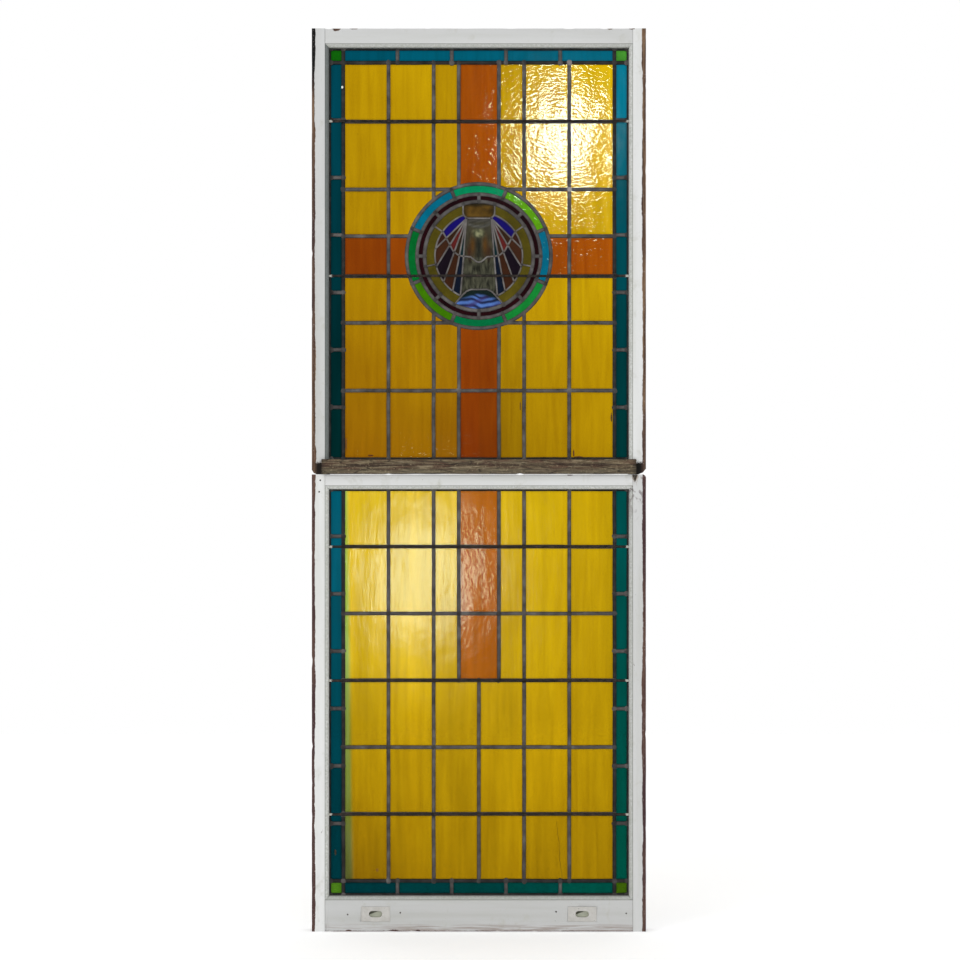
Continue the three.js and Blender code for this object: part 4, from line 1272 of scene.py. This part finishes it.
def weathered_wood():
    """Bare, grey, rain-worn wood with its grain along the rail."""
    n = Look("weathered_wood")
    grain = n.noise((26, 260, 330), 5.0, 0.66, 0.45)
    colour = n.shades(
        grain, (0.28, (48, 38, 29)), (0.44, (92, 77, 56)), (0.56, (122, 107, 83)), (0.72, (160, 146, 119)),
    )
    patch = n.noise((16, 60, 90), 4.0, 0.6, 0.5)
    colour = n.stained(colour, patch, 0.46, 0.60, 0.65, (84, 52, 40))
    low = n.span(n.axis("Z"), 1.248, 1.240)
    colour = n.mix(n.times(low, 0.5), colour, (96, 92, 74))
    streak = n.noise((5, 60, 170), 4.0, 0.6, 0.3)
    middle = n.span(n.away(n.axis("Z"), 1.254), 0.009, 0.002)
    colour = n.mix(n.times(middle, n.span(streak, 0.44, 0.56, 0.0, 0.8)), colour, (52, 32, 24))
    dark = n.noise((60, 120, 150), 4.0, 0.7, 0.5)
    colour = n.stained(colour, dark, 0.58, 0.70, 0.8, (42, 30, 24))
    under = n.plus(n.axis("Z"), n.times(dark, 0.003))
    colour = n.stained(colour, under, 1.2345, 1.2325, 0.85, (24, 19, 16))
    crumbs = n.noise((150, 150, 190), 4.0, 0.7)
    colour = n.stained(colour, crumbs, 0.55, 0.68, 0.6, (160, 144, 114))
    ends = n.away(n.axis("X"))
    colour = n.stained(colour, ends, 0.412, 0.424, 0.7, (40, 32, 26))
    checks = n.cracks((9, 120, 150))
    colour = n.mix(n.span(checks, 0.0, 0.05, 0.75, 0.0), colour, (30, 23, 18))
    normal = n.bump(grain, 0.0014, 0.9)
    normal = n.bump(n.span(checks, 0.0, 0.06), 0.0010, 0.8, normal)
    return n.finish(colour, 0.86, normal)


def putty():
    n = Look("putty")
    body = n.noise((60, 60, 60), 5.0, 0.6)
    colour = n.shades(body, (0.3, (150, 142, 122)), (0.55, (186, 180, 164)), (0.75, (205, 202, 192)))
    checks = n.cracks((70, 70, 40))
    colour = n.mix(n.span(checks, 0.0, 0.05, 0.6, 0.0), colour, (92, 80, 62))
    return n.finish(colour, 0.82, n.bump(body, 0.0012, 0.6))


def grime():
    """Dirt, a crack and a paint splash, each with its colour in its vertices."""
    n = Look("grime")
    patch = n.noise((500, 500, 400), 4.0, 0.7)
    colour = n.mix(1.0, n.tint(), n.ramp(patch, [(0.3, (0.6,) * 3), (0.7, (1.5,) * 3)]), "MULTIPLY")
    return n.finish(colour, 0.8, n.bump(patch, 0.0003, 0.5))


# Middle of the cup of the right sash lift
LIFT_X = 0.278
LIFT_Z = 0.047


def lift_paint():
    """Paint over the lifts, with a painted shadow in the upper left of each cup."""
    n = Look("lift_paint")
    cloud = n.noise((60, 60, 60), 4.0, 0.6)
    colour = n.shades(cloud, (0.3, (184, 181, 176)), (0.6, (199, 196, 192)))
    deep = n.span(n.axis("Y"), -0.0212, -0.0160)
    colour = n.mix(n.times(deep, 0.8), colour, (206, 209, 190))
    # Painted shadow in the upper left of each cup
    away = n.minus(n.axis("X"), n.times(n.math("SIGN", n.axis("X")), LIFT_X))
    height = n.minus(n.axis("Z"), LIFT_Z)
    corner = n.minus(n.times(height, 1.9), n.times(away, 0.75))
    shade = n.times(n.span(corner, 0.0040, 0.0085), deep)
    colour = n.mix(n.times(shade, 0.92), colour, (74, 76, 58))
    worn = n.noise((190, 190, 190), 4.0, 0.7)
    colour = n.stained(colour, worn, 0.66, 0.70, 0.85, (74, 66, 54))
    return n.finish(colour, 0.4, n.bump(cloud, 0.0006, 0.5))


lead_material = lead()
steel_material = steel()
wood_upright = painted_wood("painted_wood_upright", 2)
wood_level = painted_wood("painted_wood_level", 0)
bare_material = weathered_wood()
putty_material = putty()
grime_material = grime()
lift_material = lift_paint()

# Features to a metre, in three directions: the ripples of the glass and its streaks
UPPER_RIPPLES = (88, 88, 140)
LOWER_RIPPLES = (120, 120, 26)
STREAKS = (60, 60, 5)
yellow_upper = glass(
    "yellow_glass_upper", (206, 165, 3), (182, 140, 0), STREAKS, UPPER_RIPPLES, 0.00022,
)
yellow_lower = glass(
    "yellow_glass_lower", (212, 174, 4), (188, 150, 0), STREAKS, LOWER_RIPPLES, 0.00013,
    bands=0.12, rough=0.11,
)
orange_upper = glass(
    "orange_glass_upper", (166, 82, 4), (142, 62, 2), STREAKS, UPPER_RIPPLES, 0.00024,
)
orange_lower = glass(
    "orange_glass_lower", (176, 98, 8), (150, 78, 3), STREAKS, (110, 110, 70), 0.00014,
    bands=0.08, rough=0.09,
)
teal_glass = glass(
    "teal_glass", (0, 114, 142), (0, 98, 120), STREAKS, UPPER_RIPPLES, 0.00002,
    specular=0.01, rough=0.1, ior=1.15,
)
green_glass = tinted_glass("green_glass", UPPER_RIPPLES, 0.0001, 0.8, 1.1)
dark_glass = glass("dark_glass", (42, 8, 14), (18, 4, 10), STREAKS, UPPER_RIPPLES, 0.00008)
olive_glass = glass("olive_glass", (90, 80, 20), (60, 54, 12), (30, 30, 30), UPPER_RIPPLES, 0.00008)
rim_glass = tinted_glass("rim_glass", UPPER_RIPPLES, 0.00015, 0.8, 1.12)
picture_glass = tinted_glass("picture_glass", (90, 90, 90), 0.00012, 0.8, 1.15)


# Glass and lead pieces

def areas(prefix, *names):
    return [f"{prefix}_{name}" for name in names]


corners = ("top_left", "top_right", "bottom_left", "bottom_right")
fields = add_fields()
borders = add_borders()
rings = add_rings()
fields["upper_yellow"].piece(
    "yellow_panes_upper", yellow_upper, "yellow_glass", areas("upper_yellow_glass", *corners),
)
fields["upper_orange"].piece(
    "orange_panes_upper", orange_upper, "orange_glass",
    areas("upper_orange_glass", "top", "bottom", "left", "right"),
)
fields["lower_yellow"].piece("yellow_panes_lower", yellow_lower, "yellow_glass", ["lower_yellow_glass"])
fields["lower_orange"].piece("orange_panes_lower", orange_lower, "orange_glass", ["lower_orange_glass"])
for sash, end in (("upper", "top"), ("lower", "bottom")):
    borders[f"{sash}_teal"].piece(
        f"teal_panes_{sash}", teal_glass, "teal_glass", areas(f"{sash}_teal_glass", end, "left", "right"),
    )
for sash in ("upper", "lower"):
    borders[f"{sash}_green"].piece(
        f"green_panes_{sash}", green_glass, "green_glass", areas(f"{sash}_green_glass", "left", "right"),
    )
rings["rim"].piece(
    "rim_panes", rim_glass, "rim_glass", areas("medallion_rim_glass", *range(1, RIM_PIECES + 1)),
)
rings["dark"].piece("dark_ring_panes", dark_glass, "dark_glass", ["medallion_dark_ring_glass"])
rings["olive"].piece(
    "olive_panes", olive_glass, "olive_glass", areas("medallion_olive_glass", "left", "right"),
)
add_picture().piece("picture_panes", picture_glass, "picture_glass", [
    "medallion_panel_glass", "medallion_pool_glass",
    "medallion_figure_glass_upper", "medallion_figure_glass_lower",
    "medallion_ray_glass_left", "medallion_ray_glass_right",
    "medallion_fold_glass_left", "medallion_fold_glass_right",
])
add_leading("upper_leads", upper_cames(), medallion_cames(), ["upper_leading"])
add_leading("lower_leads", lower_cames(), [], ["lower_leading"])


# Dirt on the glass: place, reach across and up, and colour
MARKS = (
    (0.2560, 1.2880, 0.0018, 0.0100, (98, 44, 10)), (0.2700, 1.2775, 0.0120, 0.0018, (118, 72, 10)),
    (0.3577, 1.3845, 0.0020, 0.0120, (84, 52, 14)), (-0.3585, 1.3135, 0.0022, 0.0180, (118, 72, 6)),
    (0.1120, 1.4155, 0.0014, 0.0120, (100, 62, 8)), (-0.3869, 0.2102, 0.0026, 0.0090, (58, 44, 24)),
    (-0.2740, 0.1622, 0.0034, 0.0048, (128, 88, 4)), (-0.2921, 1.2810, 0.0080, 0.0022, (104, 44, 6)),
)
SPLASH = (-0.3686, 2.2751, 0.0030, 0.0036, (222, 222, 216))
CRACK = (
    (0.2098, 0.2950), (0.2125, 0.2600), (0.2170, 0.2350),
    (0.2178, 0.1900), (0.2225, 0.1600), (0.2262, 0.1345),
)
CRACK_SECTION = ((0.0004, -0.0012), (-0.0004, -0.0012), (0.0, -0.0018))


def add_mark(build, x, z, wide, high, colour, front):
    """A ragged flake that stands a little proud of a face."""
    sides = 16
    verts = []
    for y, share in ((front + 0.0006, 1.0), (front, 0.94)):
        for i in range(sides):
            angle = 2 * math.pi * i / sides
            reach = share * (1 + 0.45 * wobble(x + math.cos(angle), z, math.sin(angle), 1.9))
            verts.append((x + wide * reach * math.cos(angle), y, z + high * reach * math.sin(angle)))
    build.add(verts, tube(2, sides), linear(*colour))


def add_grime():
    build = Build()
    for mark in MARKS:
        add_mark(build, *mark, -GLASS_Y - 0.0004)
    add_mark(build, *SPLASH, -LEAD_Y - 0.0006)
    verts = [(x + across, y, z) for x, z in CRACK for across, y in CRACK_SECTION]
    build.add(verts, tube(len(CRACK), len(CRACK_SECTION)), linear(72, 52, 10))
    build.piece("grime", grime_material, "putty")


add_grime()


# Saddle bars

def add_bars(name, heights, nodes):
    build = Build()
    sides, steps = 14, 60
    reach = SIGHT_X + BAR_INLET
    for number, height in enumerate(heights):
        verts = []
        for step in range(steps + 1):
            x = -reach + 2 * reach * step / steps
            held = 1 - (abs(x) / reach) ** 6
            y = BAR_Y + 0.0008 * held * wobble(x, number * 3.7, 1.3, 3)
            z = height + 0.0011 * held * wobble(x, number * 5.3, 8.1, 4)
            for i in range(sides):
                angle = 2 * math.pi * i / sides
                radius = BAR_RADIUS * (1 + 0.03 * wobble(x, i * 0.6, number, 40))
                verts.append((x, y + radius * math.cos(angle), z + radius * math.sin(angle)))
        build.add(verts, tube(steps + 1, sides))
    build.piece(name, steel_material, "steel", nodes)


add_bars("upper_bars", [CENTRE_Z + OUTER_ROW, CENTRE_Z - STEM_X], areas("upper_saddle_bar", 1, 2))
add_bars("lower_bars", lower_rows[4::-2], areas("lower_saddle_bar", 1, 2, 3))


# Wood, with the painted light and shade on the paint of each member
MEMBER_PAINTED_LIGHT = {
    "upper_stile_left": 0.87,
    "upper_stile_right": 1.07,
    "lower_stile_left": 1.12,
    "lower_stile_right": 0.90,
    "upper_top_rail": 0.88,
    "lower_meeting_rail": 0.99,
    "lower_bottom_rail": 0.81,
}


NEAR_EDGE = 0.004  # how near an outer edge wear reaches
DEEPEST_CHIP = 0.003
SHORTEST_ARRIS = 0.004
SHARP_TURN = 28  # an edge that turns by more degrees than this is eased


def dressed(node, name, material, along, depth=0.0009, step=0.011, wear=1.0):
    """A wooden member with eased, chipped edges, from the shape of its CAD node."""
    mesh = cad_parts[node].data.copy()
    mesh.name = name
    bm = bmesh.new()
    bm.from_mesh(mesh)
    bmesh.ops.remove_doubles(bm, verts=bm.verts, dist=2e-6)
    bmesh.ops.dissolve_limit(bm, angle_limit=math.radians(0.6), verts=bm.verts, edges=bm.edges)
    arrises = []
    for edge in bm.edges:
        if len(edge.link_faces) != 2 or edge.calc_length() < SHORTEST_ARRIS:
            continue
        way = (edge.verts[1].co - edge.verts[0].co).normalized()
        if edge.calc_face_angle(0) > math.radians(SHARP_TURN) and abs(way[along]) > 0.98:
            arrises.append(edge)
    bmesh.ops.bevel(
        bm, geom=arrises, offset=depth, offset_type="OFFSET", segments=2, profile=0.5,
        affect="EDGES", clamp_overlap=True,
    )
    lows = [min(v.co[a] for v in bm.verts) for a in range(3)]
    highs = [max(v.co[a] for v in bm.verts) for a in range(3)]
    normal = [0, 0, 0]
    normal[along] = 1
    count = int((highs[along] - lows[along]) / step)
    for k in range(1, count):
        place = [0, 0, 0]
        place[along] = lows[along] + (highs[along] - lows[along]) * k / count
        bmesh.ops.bisect_plane(
            bm, geom=bm.verts[:] + bm.edges[:] + bm.faces[:], dist=1e-6, plane_co=place, plane_no=normal,
        )
    across = 2 - along
    for vert in bm.verts:
        co = vert.co
        from_low = abs(co[across] - lows[across])
        from_high = abs(co[across] - highs[across])
        from_face = min(abs(co.y - lows[1]), abs(co.y - highs[1]))
        if max(min(from_low, from_high), from_face) < NEAR_EDGE:
            chip = max(0.0, noise.noise(Vector((co[along] * 31, co[across] * 9, 4.2))) - 0.34)
            rub = 1 + noise.noise(Vector((co[along] * 17, 2.2, co.y * 40)))
            loss = min(wear * (0.0005 * rub + 0.006 * chip), DEEPEST_CHIP)
            co[across] += loss if from_low < from_high else -loss
    bm.to_mesh(mesh)
    bm.free()
    mesh.materials.clear()
    mesh.materials.append(material)
    tint = mesh.attributes.new("tint", "FLOAT_COLOR", "POINT")
    # The tint gives each member's paint its painted light and shade
    value = MEMBER_PAINTED_LIGHT.get(node, 1.0)
    tint.data.foreach_set("color", [value, value, value * 0.995, 1.0] * len(mesh.vertices))
    return dress(mesh, name, [node], 35)


for sash in ("upper", "lower"):
    for hand in ("left", "right"):
        dressed(f"{sash}_stile_{hand}", f"{sash}_stile_{hand}_wood", wood_upright, 2)
for rail in ("upper_top_rail", "lower_meeting_rail", "lower_bottom_rail"):
    dressed(rail, f"{rail}_wood", wood_level, 0)
dressed("upper_meeting_rail", "upper_meeting_rail_wood", bare_material, 0, 0.0018, wear=1.6)

# CAD nodes that stay, with their materials
for node, material in (
    ("sash_lift_left", lift_material),
    ("sash_lift_right", lift_material),
    ("upper_putty", putty_material),
    ("lower_putty", putty_material),
):
    for material_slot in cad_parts[node].material_slots:
        material_slot.material = material


# Camera, floor and light

camera = bpy.data.objects.new("camera", bpy.data.cameras.new("camera"))
bpy.context.scene.collection.objects.link(camera)
camera.data.sensor_width = SENSOR_WIDTH
camera.data.lens = SENSOR_WIDTH * CAMERA_DISTANCE / FRAME_WIDTH
camera.location = (0.003, -CAMERA_DISTANCE, CAMERA_HEIGHT)
camera.rotation_euler = (math.pi / 2, 0, 0)
bpy.context.scene.camera = camera

# The floor lies a little under the sill, and glows so that it is as white as the world
FLOOR_REACH = 5.0
FLOOR_DROP = 0.0002
FLOOR_GLOW = 0.30
floor_mesh = bpy.data.meshes.new("floor")
floor_corners = [(x * FLOOR_REACH, y * FLOOR_REACH, 0) for x, y in ((-1, -1), (1, -1), (1, 1), (-1, 1))]
floor_mesh.from_pydata(floor_corners, [], [(0, 1, 2, 3)])
floor = bpy.data.objects.new("floor", floor_mesh)
floor.location.z = -FLOOR_DROP
bpy.context.scene.collection.objects.link(floor)
pale = Look("pale_floor")
floor_colour = pale.ramp(pale.noise((3, 3, 3)), [(0.3, (0.95, 0.95, 0.95)), (0.7, (0.97, 0.97, 0.97))])
pale.finish(floor_colour, 0.9, Emission_Color=(1.0, 1.0, 1.0, 1.0), Emission_Strength=FLOOR_GLOW)
floor_mesh.materials.append(pale.material)
floor.visible_glossy = False


def softbox(name, location, target, size, power, shape="RECTANGLE", colour=(1.0, 1.0, 1.0)):
    """A soft light that shows on surfaces alone, not to the camera or through the glass."""
    light = bpy.data.lights.new(name, "AREA")
    light.color = colour
    light.shape = shape
    light.size, light.size_y = size
    light.energy = power
    box = bpy.data.objects.new(name, light)
    bpy.context.scene.collection.objects.link(box)
    box.location = location
    box.visible_camera = False
    box.visible_transmission = False
    box.rotation_euler = (Vector(target) - box.location).to_track_quat("-Z", "Y").to_euler()


DAYLIGHT = (0.83, 1.0, 0.86)
softbox("key", (-4.0, -5.0, 4.2), (0, 0, 1.2), (2.0, 2.0), 60)
softbox("fill", (4.2, -4.5, 2.6), (0, 0, 1.2), (2.4, 2.4), 12)
softbox("window_glare", (0.485, -7.5, 3.205), (0.229, 0, 2.145), (0.38, 0.50), 17, "ELLIPSE", DAYLIGHT)
softbox("soft_glare", (-0.329, -7.5, 0.675), (-0.153, 0, 0.96), (0.56, 0.76), 11, "ELLIPSE", DAYLIGHT)

# The surroundings are white where they are seen, straight or through the glass, and dim in reflections
MIRRORED_LIGHT = 0.05
DIFFUSE_LIGHT = 0.8
world = bpy.data.worlds.new("studio")
bpy.context.scene.world = world
world.use_nodes = True
studio = Nodes(world)
background = world.node_tree.nodes["Background"].inputs
background["Color"].default_value = (1.0, 1.0, 1.0, 1.0)
path = studio.node("LightPath").outputs
mirrored_only = studio.math("SUBTRACT", path["Is Glossy Ray"], path["Is Transmission Ray"], True)
as_mirrored = studio.span(mirrored_only, 0.0, 1.0, 1.0, MIRRORED_LIGHT)
as_diffuse = studio.span(path["Is Diffuse Ray"], 0.0, 1.0, 1.0, DIFFUSE_LIGHT)
studio.link(studio.times(as_mirrored, as_diffuse), background["Strength"])

bpy.context.scene.view_settings.view_transform = "Standard"
